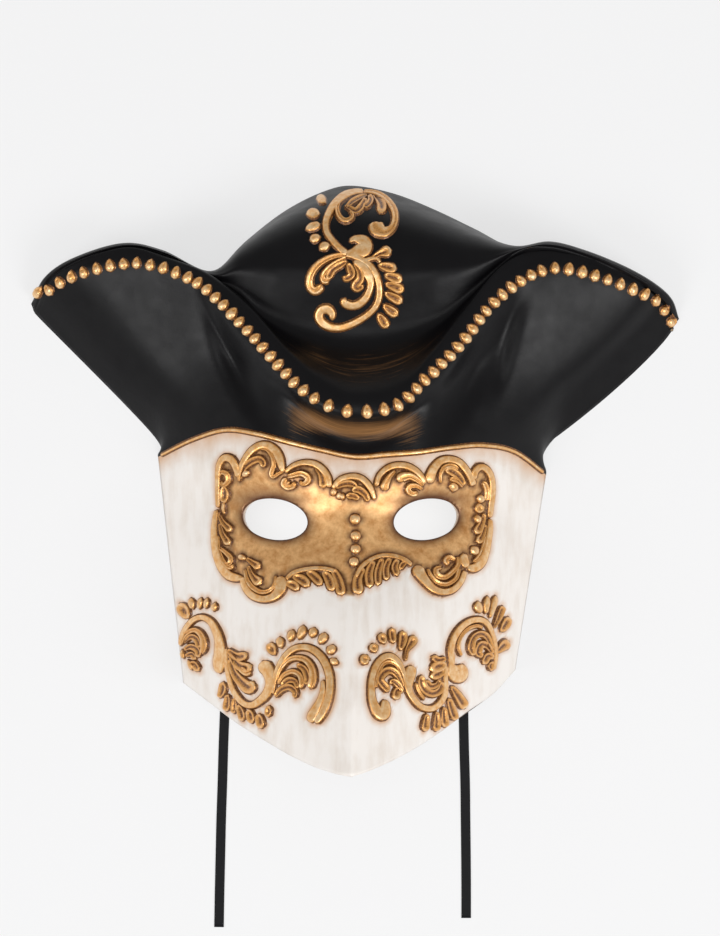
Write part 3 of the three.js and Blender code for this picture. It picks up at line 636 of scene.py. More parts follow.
# For each kind: how full its section is, how deep its groove, where it runs and how wide, and how far along
SECTIONS = {
    "bead": (1, 0, 0, 1, all_along),
    "knob": (1, 0, 0, 1, all_along),
    "drop": (1, 0.7, 0, 0.4, at_tip),
    "flat": (0.5, 0.1, 0, 0.5, all_along),
    "band": (0.7, 0.7, 0.15, 0.3, all_along),
    "leaf": (0.55, 0.95, 0, 0.5, inside_rim),
}


def even_line(points, step):
    """Evenly spaced places and widths on a smooth line, the way it heads, and how far along they are."""
    fine = along(points, np.linspace(0, 1, 40 * len(points)))
    run = np.concatenate([[0], np.cumsum(np.hypot(*np.diff(fine[:, :2], axis=0).T))])
    at = np.linspace(0, run[-1], max(6, int(run[-1] / step)) + 1)
    places = np.stack([np.interp(at, run, fine[:, d]) for d in range(3)], 1)
    heading = np.gradient(places[:, :2], axis=0)
    heading /= np.maximum(np.hypot(*heading.T)[:, None], 1e-6)
    return places, heading, at


def blunted(from_head, from_tail, half, head, tail):
    """How the ends narrow: 1 is round and more is pointed."""
    ends = 1
    for reach, blunt in ((from_head, head), (from_tail, tail)):
        cap = np.minimum(np.maximum(half * blunt, 0.2), (from_head + from_tail) / 2)
        ends = ends * np.sqrt(np.clip(1 - (1 - np.minimum(reach, cap) / cap) ** 2, 0, 1))
    return ends


def lay_stroke(bm, sheet, kind, points, rise, head=1.0, tail=1.0):
    """Each point is x, y and width. The stroke is raised in the middle, with a flat ring of wash round it."""
    place, unit = sheet
    places, heading, run = even_line(points, STEP / unit)
    at = run * unit
    full = places[:, 2] * unit / 2
    ends = blunted(at, at[-1] - at, full, head, tail)
    half = full * np.maximum(ends, 0.06)
    beyond = np.array([1, 0.6]) * RING
    rows = np.concatenate([-beyond, at, at[-1] + beyond[::-1]])
    gap = rows[:, None] - at
    ring = half + np.sqrt(np.maximum(0, RING ** 2 - gap ** 2))
    ring = np.max(np.where(np.abs(gap) <= RING, ring, 0), axis=1)
    crest = rise * (0.35 + 0.65 * np.minimum(1, half / 1.2))
    body, lift, ends = (np.interp(rows, at, values, left=0, right=0) for values in (half, crest, ends))
    power, groove, middle, width, reach = SECTIONS[kind]
    t = np.sin(np.linspace(-1, 1, STRANDS + 1) * math.pi / 2)
    hollow = groove * bump(t - middle, width) * np.interp(
        rows, at, reach(at, at[-1] - at, full), left=0, right=0)[:, None]
    raised = np.maximum(0, 1 - t ** 2) ** (power / 2) * (1 - hollow) * (lift * np.maximum(ends, 0.1))[:, None]
    deep = np.clip((1 - np.abs(t)) * body[:, None] / SOFT, 0, 1) * (1 - hollow)
    centre = np.stack([np.interp(rows / unit, run, places[:, d]) for d in range(2)], 1)
    steer = np.stack([np.interp(rows / unit, run, heading[:, d]) for d in range(2)], 1)
    centre += steer * ((rows - np.clip(rows, 0, at[-1])) / unit)[:, None]
    aside = np.stack([steer[:, 1], -steer[:, 0]], 1)
    made = bmesh.ops.create_grid(bm, x_segments=STRANDS + 4, y_segments=len(rows) - 1, size=0.5)
    depth = bm.verts.layers.float["depth"]
    for k, v in enumerate(made["verts"]):
        j, i = divmod(k, STRANDS + 5)
        i -= 2
        on_body = 0 <= i <= STRANDS
        offset = t[i] * body[j] if on_body else math.copysign(ring[j], i)
        hit, normal = place(*(centre[j] + aside[j] * offset / unit))
        if i in (-2, STRANDS + 2) or j in (0, len(rows) - 1):
            height = -SINK
        else:
            height = FLUSH + (raised[j, i] + 0.06 * noise.noise(hit * 1500) if on_body and body[j] else 0)
        v.co = hit + normal * height * MM
        v[depth] = deep[j, i] if on_body else 0
        if i == STRANDS // 2 and body[j]:
            TRAILS.append((hit.x / MM, hit.y / MM, body[j]))
    faces = {f for v in made["verts"] for f in v.link_faces}
    bm.normal_update()
    if sum(f.normal.z for f in faces) < 0:
        bmesh.ops.reverse_faces(bm, faces=list(faces))


def plaster_bmesh():
    bm = bmesh.new()
    bm.verts.layers.float.new("depth")
    return bm


def close_plaster(name, bm, materials):
    """Close every stroke underneath and make one piece of them."""
    thicken(bm, lambda v: Vector((0, 0, -0.5 * MM)))
    count = len(bm.faces)
    piece = finished(name, bm, materials)
    print(f"{name}: {count} faces")
    return piece

# %% [markdown]
# ## Gilding
# The plaster is painted with bronze gilding paint over a reddish brown ground, then a dark wash is wiped
# over it. The wash stays in the hollows and along the edges. The tops are made paler, partly where a cloth has
# worn the paint bright and partly as a painted highlight. The depth of each place on a stroke says how much
# of the wash it keeps and how much of the painted highlight it takes.

# %% The gilding finish
# The pale gold is a painted highlight on the tops of the strokes, partly cloth-worn gilding
GOLD, PALE_GOLD_HIGHLIGHT, UMBER = "#e2a45c", "#fbdcae", "#5c3318"


def gilding():
    material, tree, shader = new_material("bronze_gilding_with_umber_wash")
    place, depth = on_object(tree), attribute(tree, "depth")
    blotch = grain(tree, place, 330, 5, 0.65)
    # Painted highlight: the tops of the strokes turn pale gold, partly as cloth-worn gilding
    worn_and_highlit = spread(tree, reckon(tree, "MULTIPLY", depth, blotch), 0.32, 0.7)
    gold = blend(tree, worn_and_highlit, GOLD, PALE_GOLD_HIGHLIGHT)
    worn = reckon(tree, "ADD", spread(tree, depth, 0.15, 0.95), grain(tree, place, 1400, 2))
    shown = spread(tree, worn, 0.45, 1)
    feed(tree, shader, {
        "Base Color": blend(tree, shown, UMBER, gold),
        "Metallic": spread(tree, shown, 0, 1, 0.1, 0.6),
        "Normal": relief(tree, blotch, 0.4, 0.3),
        "Roughness": 0.36,
    })
    return material


GILDING = gilding()

# %% [markdown]
# ## The row of drops and the gold line
# Drops of plaster sit side by side along the hat's turned-up brim, pressed one at a time, so no two are
# quite alike. Each is a little pear with its thin end towards the brim's edge. Under the brim a thin rolled
# line of plaster hides the change from black to white.

# %% Pipe the edge of the hat
BEAD_WIDTH, BEAD_LENGTH, BEAD_RISE, BEAD_COUNT = 4.4, 6, 1.9, 61
BEADS_FROM, BEADS_TO = -1, 0.978  # from tip to tip
LINE_WIDTHS, LINE_RISE, LINE_END = (1.6, 1.9, 2.1, 1.8, 2.2, 1.9, 2, 1.7), 0.9, 0.985


def pipe_beads():
    bm = plaster_bmesh()
    u = np.linspace(BEADS_FROM, BEADS_TO, 600)
    line = bead_line(u)[:, :2]
    # at each tip of the hat the row turns off the lip and runs round the tip
    line += np.where(u < 0, [[-1], [14]], [[2], [3]]).T * np.abs(u)[:, None] ** 15
    gaps = np.hypot(*np.diff(line, axis=0).T)
    run = np.concatenate([[0], np.cumsum(gaps)])
    # the drops stand close together, except in the middle of the brim
    pitch = 5.2 + 3.6 * bump(u, 0.09) + np.clip((np.abs(u) - 0.5) / 0.08, 0, 1)
    steps = np.concatenate([[0], np.cumsum(gaps / pitch[1:])])
    for k, at in enumerate(np.interp(np.linspace(0, steps[-1], BEAD_COUNT), steps, run)):
        x, y = (np.interp(at, run, line[:, d]) for d in range(2))
        before, after = (np.array([np.interp(at + d, run, line[:, 0]), np.interp(at + d, run, line[:, 1])])
                         for d in (-2, 2))
        angle = math.atan2(*(after - before)[::-1]) + math.pi / 2
        odd = [noise.noise(Vector((k * 1.7, d * 9.1, 0.5))) for d in range(4)]
        middle = np.array([x + 0.3 * odd[0], y + 0.3 * odd[1]])
        reach = BEAD_LENGTH * (1 + 0.15 * odd[3]) / 2
        ahead = np.array([math.cos(angle + 0.4 * odd[2]), math.sin(angle + 0.4 * odd[2])]) * reach
        width = BEAD_WIDTH * (1 + 0.15 * odd[0])
        drop = [(*(middle - ahead), width), (*middle, width), (*(middle + ahead), width * 0.5)]
        lay_stroke(bm, FROM_ABOVE, "drop", drop, BEAD_RISE, tail=1.5)
    print(f"{BEAD_COUNT} drops along the brim, where {steps[-1] + 1:.1f} would fit")
    return close_plaster("brim_drops", bm, [GILDING])


def pipe_gold_line():
    bm = plaster_bmesh()
    line = rim_line(np.linspace(-LINE_END, LINE_END, 60))
    widths = along([[width] for width in LINE_WIDTHS], np.linspace(0, 1, 60))
    lay_stroke(bm, FROM_ABOVE, "bead", np.hstack([line, widths]), LINE_RISE)
    return close_plaster("gold_line", bm, [GILDING])


pipe_beads()
pipe_gold_line()

# %% [markdown]
# ## The scrolls
# The ornament is the rocaille of old picture frames: C-scrolls that end in curls, filled with small leaves
# and fringed with drops. It is drawn stroke by stroke on the sheets, each point with its width. A flat
# stroke is a pad with soft edges, a band has a groove worn along it, and a leaf is a raised rim round a
# hollow.

# %% The scroll on the crown
RISES = {"flat": 1.4, "band": 1.8, "leaf": 1.7, "bead": 1.7, "knob": 1.9}


def lay_ornament(name, *drawings):
    bm = plaster_bmesh()
    for sheet, strokes in drawings:
        for kind, *points in strokes:
            lay_stroke(bm, sheet, kind, points, RISES[kind], head=2.2 if kind == "bead" else 1)
    return close_plaster(name, bm, [GILDING])


CROWN_SCROLL = [
    ("flat", (545, 710, 70), (470, 650, 62), (400, 575, 60), (350, 500, 60), (342, 410, 62), (375, 320, 68),
     (430, 235, 76), (520, 158, 78), (620, 125, 60), (700, 125, 50)),
    ("band", (690, 125, 40), (770, 130, 45), (850, 155, 55), (930, 215, 62), (985, 300, 70), (995, 390, 66),
     (965, 465, 70), (900, 500, 100), (845, 480, 140), (810, 440, 150), (800, 400, 130)),
    ("band", (470, 205, 40), (450, 290, 46), (475, 365, 50), (530, 395, 46), (585, 370, 42), (590, 330, 36),
     (560, 315, 26)),
    ("leaf", (745, 150, 40), (765, 200, 60), (730, 250, 60), (685, 255, 36)),
    ("leaf", (720, 180, 40), (670, 270, 70), (620, 305, 60), (560, 275, 44), (520, 250, 30)),
    ("leaf", (735, 150, 26), (660, 180, 50), (590, 220, 56), (540, 265, 36)),
    ("leaf", (785, 150, 34), (845, 200, 80), (870, 265, 96), (845, 320, 100)),
    ("flat", (565, 590, 36), (620, 565, 66), (700, 590, 120), (705, 650, 150), (640, 690, 130),
     (575, 705, 80), (520, 712, 56)),
    ("flat", (520, 712, 50), (600, 725, 60), (690, 765, 62), (770, 830, 62), (825, 920, 60),
     (848, 1020, 60), (845, 1110, 60), (810, 1200, 58), (730, 1280, 60), (620, 1350, 66), (500, 1398, 70),
     (400, 1400, 76), (320, 1365, 84), (275, 1300, 84), (300, 1235, 84), (360, 1225, 90), (400, 1270, 70),
     (400, 1330, 30)),
    ("flat", (600, 775, 40), (680, 815, 90), (735, 880, 100), (765, 960, 74), (755, 1040, 62),
     (715, 1120, 72), (650, 1175, 76), (580, 1190, 78), (520, 1160, 80), (525, 1120, 66)),
    ("leaf", (610, 790, 40), (660, 870, 66), (665, 940, 80), (620, 1000, 76), (640, 1030, 60),
     (700, 1000, 40)),
    ("band", (535, 715, 46), (430, 727, 52), (330, 765, 60), (240, 835, 66), (192, 920, 72),
     (190, 1000, 78), (230, 1050, 76), (280, 1030, 80), (300, 990, 60)),
    ("band", (540, 735, 30), (440, 785, 42), (360, 845, 48), (315, 905, 52), (325, 955, 66),
     (375, 950, 56)),
    ("leaf", (545, 775, 30), (480, 810, 66), (410, 850, 76), (375, 910, 70), (370, 950, 50)),
    ("leaf", (545, 790, 36), (575, 850, 76), (585, 900, 70), (540, 935, 60), (500, 920, 40)),
    ("flat", (700, 775, 50), (770, 750, 40), (830, 752, 34), (855, 790, 30)),
    ("leaf", (780, 745, 34), (850, 705, 60), (905, 685, 105), (962, 665, 100)),
    ("leaf", (835, 812, 40), (900, 825, 84), (960, 838, 96), (1012, 845, 90)),
    ("leaf", (895, 900, 40), (960, 920, 84), (1020, 940, 94), (1066, 955, 80)),
    ("leaf", (905, 980, 40), (975, 1005, 84), (1035, 1030, 96), (1082, 1048, 84)),
    ("leaf", (900, 1065, 40), (960, 1100, 80), (1015, 1130, 92), (1066, 1162, 80)),
    ("leaf", (885, 1180, 40), (940, 1225, 84), (985, 1258, 92), (1022, 1288, 84)),
    ("leaf", (835, 1265, 40), (870, 1320, 84), (900, 1362, 90), (926, 1405, 80)),
    ("bead", (250, 180, 70), (295, 190, 96), (345, 225, 50)),
    ("bead", (155, 330, 76), (220, 325, 100), (285, 325, 70)),
    ("bead", (150, 475, 70), (220, 450, 84), (290, 425, 56)),
    ("bead", (190, 575, 90), (235, 560, 86), (290, 540, 56)),
    ("bead", (280, 665, 70), (325, 635, 90), (380, 615, 46)),
]
lay_ornament("crown_scroll", (CROWN_SHEET, CROWN_SCROLL))

# %% [markdown]
# ## The border of the half-mask
# The gilt half-mask is framed by C-scrolls. Small curls and leaves fill them at the top and the sides, and
# feathers spread on both sides of the nose. The two halves are alike, yet not mirrored, because each was
# pressed and piped by itself. So each half has its own sheet. A row of knobs runs down the bridge of the
# nose.

# %% The left half of the mask's border
LEFT_EYE_BORDER = [
    ("flat", (315, 415, 30), (320, 330, 44), (355, 235, 56), (420, 145, 64), (500, 95, 70), (575, 100, 78),
     (640, 150, 84), (675, 220, 80), (695, 290, 60), (710, 335, 36)),
    ("band", (500, 120, 26), (565, 135, 36), (610, 195, 42), (625, 270, 46), (605, 335, 46), (620, 372, 36),
     (665, 345, 34), (705, 325, 30)),
    ("leaf", (325, 390, 40), (360, 295, 56), (420, 240, 66), (490, 215, 66), (530, 250, 60),
     (520, 290, 44)),
    ("bead", (340, 370, 40), (370, 345, 60), (400, 320, 56)),
    ("flat", (720, 335, 36), (790, 280, 46), (880, 250, 52), (980, 260, 60), (1055, 310, 64),
     (1105, 385, 60), (1118, 470, 56)),
    ("leaf", (990, 290, 30), (1040, 350, 56), (1060, 420, 76), (1062, 475, 80)),
    ("band", (740, 370, 40), (800, 358, 50), (865, 345, 54), (920, 372, 60), (925, 410, 60), (885, 432, 44),
     (850, 410, 30)),
    ("band", (735, 380, 50), (712, 430, 60), (750, 462, 60), (800, 450, 50), (802, 412, 40)),
    ("bead", (735, 415, 40), (750, 430, 52), (760, 440, 40)),
    ("flat", (305, 380, 44), (292, 300, 66), (245, 218, 70), (180, 205, 66), (138, 262, 56), (125, 350, 50),
     (125, 450, 46), (125, 560, 46), (128, 650, 46)),
    ("band", (125, 385, 30), (160, 330, 44), (210, 350, 56), (218, 410, 56), (178, 445, 46),
     (152, 410, 36)),
    ("leaf", (180, 450, 40), (182, 530, 92), (180, 610, 50)),
    ("flat", (178, 600, 30), (172, 660, 34), (185, 710, 24)),
    ("leaf", (130, 700, 30), (170, 780, 50), (215, 830, 66), (240, 865, 84)),
    ("leaf", (140, 790, 30), (165, 880, 48), (200, 940, 66), (228, 985, 88)),
    ("band", (140, 1010, 34), (200, 1055, 44), (245, 1105, 52), (228, 1155, 46), (178, 1150, 34)),
    ("band", (130, 900, 30), (140, 1030, 38), (180, 1130, 44), (240, 1190, 44), (270, 1160, 30)),
    ("flat", (115, 670, 40), (98, 770, 54), (92, 870, 62), (98, 970, 70), (118, 1080, 78), (158, 1180, 84),
     (220, 1255, 84), (290, 1280, 74), (345, 1280, 50)),
    ("flat", (342, 1270, 50), (372, 1365, 66), (435, 1440, 70), (530, 1472, 66), (620, 1450, 76),
     (675, 1390, 104), (685, 1320, 124), (690, 1265, 90)),
    ("band", (370, 1200, 34), (390, 1290, 42), (440, 1365, 50), (520, 1410, 46), (600, 1390, 42),
     (638, 1330, 36), (640, 1260, 30)),
    ("bead", (300, 1085, 56), (330, 1095, 60), (380, 1110, 36)),
    ("leaf", (380, 1105, 34), (440, 1150, 56), (500, 1190, 100)),
    ("leaf", (395, 1170, 34), (440, 1270, 60), (510, 1335, 120)),
    ("flat", (730, 1300, 34), (790, 1245, 44), (880, 1215, 44), (980, 1202, 44), (1080, 1205, 44),
     (1170, 1225, 50)),
    ("leaf", (730, 1325, 60), (800, 1350, 84), (845, 1390, 64)),
    ("leaf", (790, 1265, 50), (870, 1300, 92), (940, 1355, 76)),
    ("leaf", (915, 1225, 50), (985, 1275, 84), (1050, 1345, 72)),
    ("leaf", (1060, 1225, 50), (1115, 1300, 92), (1145, 1400, 84)),
    ("leaf", (1150, 1205, 60), (1200, 1310, 84), (1225, 1440, 96)),
]

# %% The right half of the mask's border
RIGHT_EYE_BORDER = [
    ("flat", (-110, 480, 40), (-60, 415, 50), (0, 385, 56), (80, 375, 60), (150, 395, 60), (205, 445, 60),
     (240, 505, 52), (262, 580, 40)),
    ("bead", (-125, 490, 60), (-100, 505, 80), (-70, 500, 60)),
    ("bead", (-75, 530, 50), (-50, 540, 72), (-20, 535, 50)),
    ("leaf", (-80, 470, 40), (-10, 440, 60), (60, 440, 60), (110, 470, 40)),
    ("bead", (-45, 550, 40), (-20, 550, 62), (5, 550, 50)),
    ("leaf", (60, 500, 50), (120, 490, 70), (180, 535, 64), (205, 595, 50)),
    ("leaf", (10, 545, 50), (70, 545, 60), (130, 570, 46)),
    ("flat", (275, 460, 44), (305, 370, 52), (370, 305, 56), (450, 275, 60), (540, 278, 62), (620, 315, 62),
     (680, 375, 56), (712, 440, 40)),
    ("band", (450, 320, 30), (395, 375, 50), (360, 440, 76), (340, 495, 100)),
    ("band", (700, 455, 30), (640, 400, 54), (570, 368, 70), (500, 385, 92), (488, 425, 70)),
    ("band", (690, 485, 36), (640, 452, 42), (580, 452, 52), (558, 490, 56), (600, 520, 52),
     (650, 508, 40)),
    ("flat", (750, 430, 90), (760, 370, 90), (790, 300, 80), (850, 235, 72), (930, 218, 66),
     (1015, 245, 66), (1080, 315, 66), (1120, 390, 62), (1145, 455, 76)),
    ("band", (850, 430, 30), (845, 360, 36), (880, 290, 44), (950, 275, 46), (1010, 310, 40)),
    ("leaf", (890, 310, 60), (960, 330, 80), (1020, 380, 66), (1060, 450, 44)),
    ("band", (930, 385, 50), (1000, 410, 44), (1050, 465, 34)),
    ("bead", (925, 465, 60), (960, 462, 90), (1010, 470, 60)),
    ("flat", (1140, 400, 56), (1160, 320, 62), (1210, 285, 62), (1268, 315, 64), (1305, 390, 60),
     (1312, 500, 60), (1300, 620, 58), (1285, 740, 50)),
    ("band", (1230, 410, 50), (1262, 500, 60), (1250, 590, 50)),
    ("bead", (1215, 530, 60), (1210, 570, 84), (1215, 610, 60)),
    ("leaf", (1190, 610, 60), (1195, 655, 96), (1210, 700, 60)),
    ("bead", (1180, 710, 50), (1180, 745, 72), (1190, 790, 50)),
    ("leaf", (1240, 700, 40), (1215, 790, 60), (1185, 850, 84), (1170, 890, 80)),
    ("leaf", (1250, 800, 36), (1225, 890, 50), (1195, 940, 80), (1165, 950, 70)),
    ("bead", (1190, 1010, 60), (1150, 1040, 100), (1125, 1060, 80)),
    ("flat", (1290, 750, 40), (1288, 850, 58), (1272, 950, 66), (1250, 1050, 74), (1215, 1140, 82),
     (1150, 1192, 82), (1085, 1185, 60)),
    ("band", (1250, 900, 36), (1230, 990, 44), (1195, 1080, 48), (1140, 1140, 40)),
    ("flat", (1060, 1060, 60), (1058, 1120, 84), (1085, 1190, 70)),
    ("flat", (1065, 1215, 50), (1030, 1310, 56), (960, 1385, 62), (870, 1408, 62), (780, 1378, 70),
     (705, 1300, 86), (655, 1225, 110), (640, 1170, 116)),
    ("band", (1010, 1190, 40), (980, 1285, 44), (900, 1338, 44), (820, 1325, 42), (760, 1265, 38),
     (730, 1200, 30)),
    ("band", (1000, 1090, 36), (1000, 1165, 46), (950, 1230, 48), (880, 1278, 52), (818, 1258, 60),
     (805, 1210, 52), (860, 1190, 40)),
    ("band", (980, 1130, 36), (930, 1100, 50), (892, 1130, 56), (922, 1170, 46)),
    ("flat", (95, 1280, 40), (150, 1180, 44), (240, 1115, 44), (340, 1085, 44), (450, 1095, 44),
     (540, 1130, 44), (595, 1175, 40)),
    ("leaf", (160, 1190, 60), (112, 1300, 84), (120, 1430, 112)),
    ("leaf", (250, 1130, 54), (210, 1245, 80), (222, 1370, 76)),
    ("leaf", (330, 1110, 52), (292, 1225, 72), (292, 1350, 68)),
    ("leaf", (400, 1105, 50), (360, 1205, 68), (370, 1305, 66)),
    ("leaf", (470, 1115, 50), (440, 1190, 66), (468, 1265, 64)),
    ("leaf", (545, 1135, 44), (505, 1175, 56), (485, 1210, 46)),
    ("knob", (42, 755, 96), (90, 755, 96), (138, 760, 96)), ("knob", (50, 905, 90), (95, 905, 90),
     (140, 910, 90)),
    ("knob", (50, 1025, 90), (95, 1025, 90), (140, 1030, 90)),
    ("knob", (36, 1140, 88), (80, 1140, 88), (124, 1145, 88)),
]
lay_ornament("half_mask_border", (LEFT_EYE_SHEET, LEFT_EYE_BORDER), (RIGHT_EYE_SHEET, RIGHT_EYE_BORDER))

# %% [markdown]
# ## The scrolls on the cheeks
# On each cheek an S-scroll runs from the edge of the mask down to the jaw and up again, filled with nested
# leaves and fringed with drops. They lean with the steep sides of the jaw, so each sheet is held square to the
# lens and the strokes fall on the slope by themselves.

# %% The scroll on the left cheek
LEFT_CHEEK_SCROLL = [
    ("flat", (100, 530, 30), (112, 460, 46), (150, 375, 52), (215, 302, 52), (290, 280, 52), (360, 315, 62),
     (408, 390, 72), (438, 480, 84), (445, 580, 104), (438, 680, 112), (440, 770, 70)),
    ("flat", (500, 550, 36), (502, 650, 42), (518, 770, 46), (548, 880, 50), (595, 968, 56),
     (655, 1030, 58), (725, 1045, 62), (795, 1005, 72), (855, 940, 82), (885, 850, 90), (868, 760, 112),
     (830, 700, 130), (812, 660, 116)),
    ("flat", (905, 950, 30), (920, 850, 40), (945, 745, 50), (1005, 630, 56), (1085, 560, 58),
     (1175, 542, 60), (1262, 572, 66), (1340, 650, 70), (1388, 760, 72), (1400, 880, 72), (1382, 1000, 72),
     (1340, 1110, 72), (1275, 1205, 56)),
    ("flat", (1340, 830, 34), (1342, 910, 50), (1320, 1000, 62), (1280, 1080, 80), (1245, 1150, 90),
     (1242, 1200, 60)),
    ("band", (940, 830, 30), (972, 740, 42), (1035, 662, 48), (1110, 636, 52), (1190, 655, 60),
     (1245, 725, 64), (1255, 820, 72), (1225, 905, 66)),
    ("leaf", (1110, 690, 40), (1175, 730, 60), (1205, 800, 66), (1195, 870, 44)),
    ("band", (950, 865, 30), (1000, 790, 44), (1075, 755, 50), (1140, 785, 50), (1160, 850, 50),
     (1145, 905, 36)),
    ("leaf", (980, 880, 40), (1040, 830, 60), (1100, 840, 50), (1125, 900, 40)),
    ("leaf", (925, 975, 40), (980, 910, 60), (1050, 890, 60), (1100, 930, 56), (1092, 985, 36)),
    ("leaf", (85, 160, 80), (125, 215, 110), (170, 290, 70)),
    ("bead", (185, 110, 50), (195, 150, 66), (210, 210, 36)),
    ("bead", (278, 110, 46), (272, 150, 54), (265, 210, 30)),
    ("bead", (330, 110, 42), (328, 150, 52), (320, 205, 34)),
    ("bead", (400, 150, 44), (396, 190, 56), (388, 230, 44)),
    ("band", (110, 520, 26), (150, 432, 40), (222, 390, 48), (282, 425, 52), (308, 495, 62), (305, 560, 56),
     (280, 600, 30)),
    ("leaf", (130, 505, 26), (190, 450, 50), (245, 475, 60), (268, 550, 44)),
    ("leaf", (130, 565, 30), (190, 535, 54), (250, 565, 60), (262, 630, 50)),
    ("leaf", (140, 620, 30), (200, 600, 50), (235, 650, 46)),
    ("leaf", (170, 700, 40), (220, 690, 66), (262, 750, 56)),
    ("bead", (110, 560, 30), (118, 600, 40), (128, 640, 30)),
    ("bead", (160, 650, 30), (185, 690, 44), (200, 740, 30)),
    ("leaf", (510, 560, 40), (590, 620, 76), (640, 620, 80), (680, 595, 66)),
    ("leaf", (530, 600, 40), (600, 690, 80), (670, 720, 96), (720, 700, 90)),
    ("leaf", (530, 640, 40), (570, 760, 70), (640, 850, 96), (700, 890, 120), (735, 840, 80)),
    ("band", (620, 720, 60), (680, 765, 60), (715, 750, 50)),
    ("leaf", (890, 500, 80), (893, 550, 92), (925, 610, 44)),
    ("bead", (960, 450, 60), (965, 490, 76), (980, 550, 40)),
    ("bead", (1075, 390, 60), (1065, 430, 76), (1045, 490, 40)),
    ("bead", (1165, 350, 60), (1158, 400, 80), (1125, 475, 36)),
    ("bead", (1260, 370, 70), (1252, 405, 80), (1235, 460, 50)),
    ("bead", (1350, 415, 76), (1340, 455, 84), (1305, 515, 46)),
    ("bead", (1420, 520, 70), (1412, 555, 84), (1375, 600, 60)),
    ("bead", (1445, 640, 76), (1432, 665, 84), (1410, 695, 60)),
    ("leaf", (470, 840, 50), (468, 910, 76), (440, 985, 44)),
    ("leaf", (515, 950, 40), (508, 1030, 66), (498, 1100, 60)),
    ("leaf", (575, 980, 34), (570, 1050, 54), (565, 1120, 46)),
    ("leaf", (600, 1040, 44), (630, 1110, 70), (640, 1185, 54)),
    ("leaf", (690, 1080, 50), (712, 1140, 76), (722, 1205, 60)),
    ("leaf", (780, 1120, 50), (795, 1190, 80), (805, 1250, 60)),
    ("leaf", (872, 1050, 44), (868, 1100, 62), (862, 1150, 50)),
]

# %% The scroll on the right cheek
RIGHT_CHEEK_SCROLL = [
    ("flat", (485, 910, 30), (462, 790, 42), (420, 685, 56), (350, 625, 62), (280, 640, 62), (222, 710, 62),
     (188, 810, 62), (180, 920, 64), (192, 1020, 76), (235, 1105, 100), (280, 1120, 124), (298, 1060, 96),
     (285, 1000, 54)),
    ("band", (450, 800, 30), (400, 705, 36), (330, 672, 38), (272, 705, 38), (232, 800, 36),
     (215, 900, 34)),
    ("leaf", (455, 890, 30), (400, 780, 60), (340, 745, 70), (285, 770, 76), (255, 830, 70), (300, 890, 70),
     (335, 930, 54)),
    ("leaf", (450, 930, 34), (410, 870, 60), (365, 840, 50), (340, 860, 36)),
    ("leaf", (455, 935, 40), (405, 920, 66), (388, 1000, 90)),
    ("flat", (525, 700, 100), (518, 770, 100), (500, 850, 86), (505, 925, 62), (560, 1015, 58),
     (620, 1065, 58), (700, 1075, 58), (765, 1035, 58), (808, 965, 58), (820, 880, 52), (820, 790, 44),
     (830, 700, 44)),
    ("band", (560, 850, 28), (590, 935, 36), (640, 1000, 30)),
    ("leaf", (830, 635, 40), (760, 655, 60), (705, 620, 66)),
    ("leaf", (835, 690, 56), (760, 710, 100), (690, 740, 90)),
    ("leaf", (820, 740, 50), (750, 780, 80), (690, 800, 70)),
    ("leaf", (620, 785, 56), (612, 850, 70), (645, 915, 76), (710, 945, 70), (770, 915, 66),
     (795, 840, 54)),
    ("leaf", (650, 830, 40), (690, 880, 60), (740, 870, 50), (775, 820, 40)),
    ("flat", (860, 780, 50), (872, 660, 60), (868, 560, 62), (895, 462, 62), (955, 372, 62),
     (1035, 315, 58), (1120, 302, 56), (1182, 335, 54), (1222, 410, 46), (1250, 510, 42), (1258, 620, 42),
     (1240, 740, 34)),
    ("band", (960, 620, 30), (930, 545, 36), (950, 455, 38), (1010, 385, 38), (1090, 355, 36),
     (1150, 375, 30)),
    ("flat", (870, 690, 80), (900, 760, 140), (945, 770, 160), (985, 690, 80)),
    ("leaf", (1230, 560, 40), (1180, 450, 60), (1120, 425, 60), (1065, 465, 64), (1045, 545, 70),
     (1070, 615, 56)),
    ("leaf", (1235, 600, 40), (1185, 530, 60), (1130, 520, 70), (1105, 590, 70), (1150, 620, 40)),
    ("leaf", (1245, 630, 40), (1190, 620, 70), (1150, 690, 60)),
    ("leaf", (1245, 670, 40), (1215, 700, 60), (1225, 750, 40)),
    ("leaf", (150, 610, 80), (128, 655, 96), (150, 690, 70)),
    ("leaf", (190, 510, 70), (200, 545, 84), (222, 590, 50)),
    ("leaf", (265, 420, 66), (275, 460, 80), (298, 515, 50)),
    ("leaf", (358, 375, 60), (362, 440, 68), (372, 510, 54)),
    ("leaf", (455, 400, 70), (452, 480, 80), (430, 570, 40)),
    ("leaf", (475, 660, 30), (488, 570, 40), (535, 490, 84), (552, 440, 76)),
    ("bead", (1110, 140, 66), (1108, 190, 78), (1130, 245, 50)),
    ("bead", (1192, 95, 52), (1180, 165, 62), (1170, 250, 34)),
    ("bead", (1262, 90, 50), (1240, 180, 58), (1206, 285, 26)),
    ("leaf", (1325, 180, 60), (1290, 270, 60), (1240, 375, 26)),
    ("leaf", (1375, 275, 66), (1345, 345, 84), (1300, 405, 44)),
    ("leaf", (1385, 495, 100), (1325, 530, 90), (1265, 590, 30)),
    ("leaf", (660, 1120, 40), (650, 1200, 72), (640, 1275, 70)),
    ("leaf", (745, 1100, 40), (745, 1200, 70), (740, 1275, 70)),
    ("leaf", (808, 1060, 40), (812, 1150, 70), (820, 1240, 76)),
    ("leaf", (850, 985, 50), (880, 1090, 74), (912, 1180, 72)),
    ("leaf", (870, 880, 40), (930, 965, 80), (1000, 1075, 100)),
]
lay_ornament("cheek_scrolls", (LEFT_CHEEK_SHEET, LEFT_CHEEK_SCROLL), (RIGHT_CHEEK_SHEET, RIGHT_CHEEK_SCROLL))
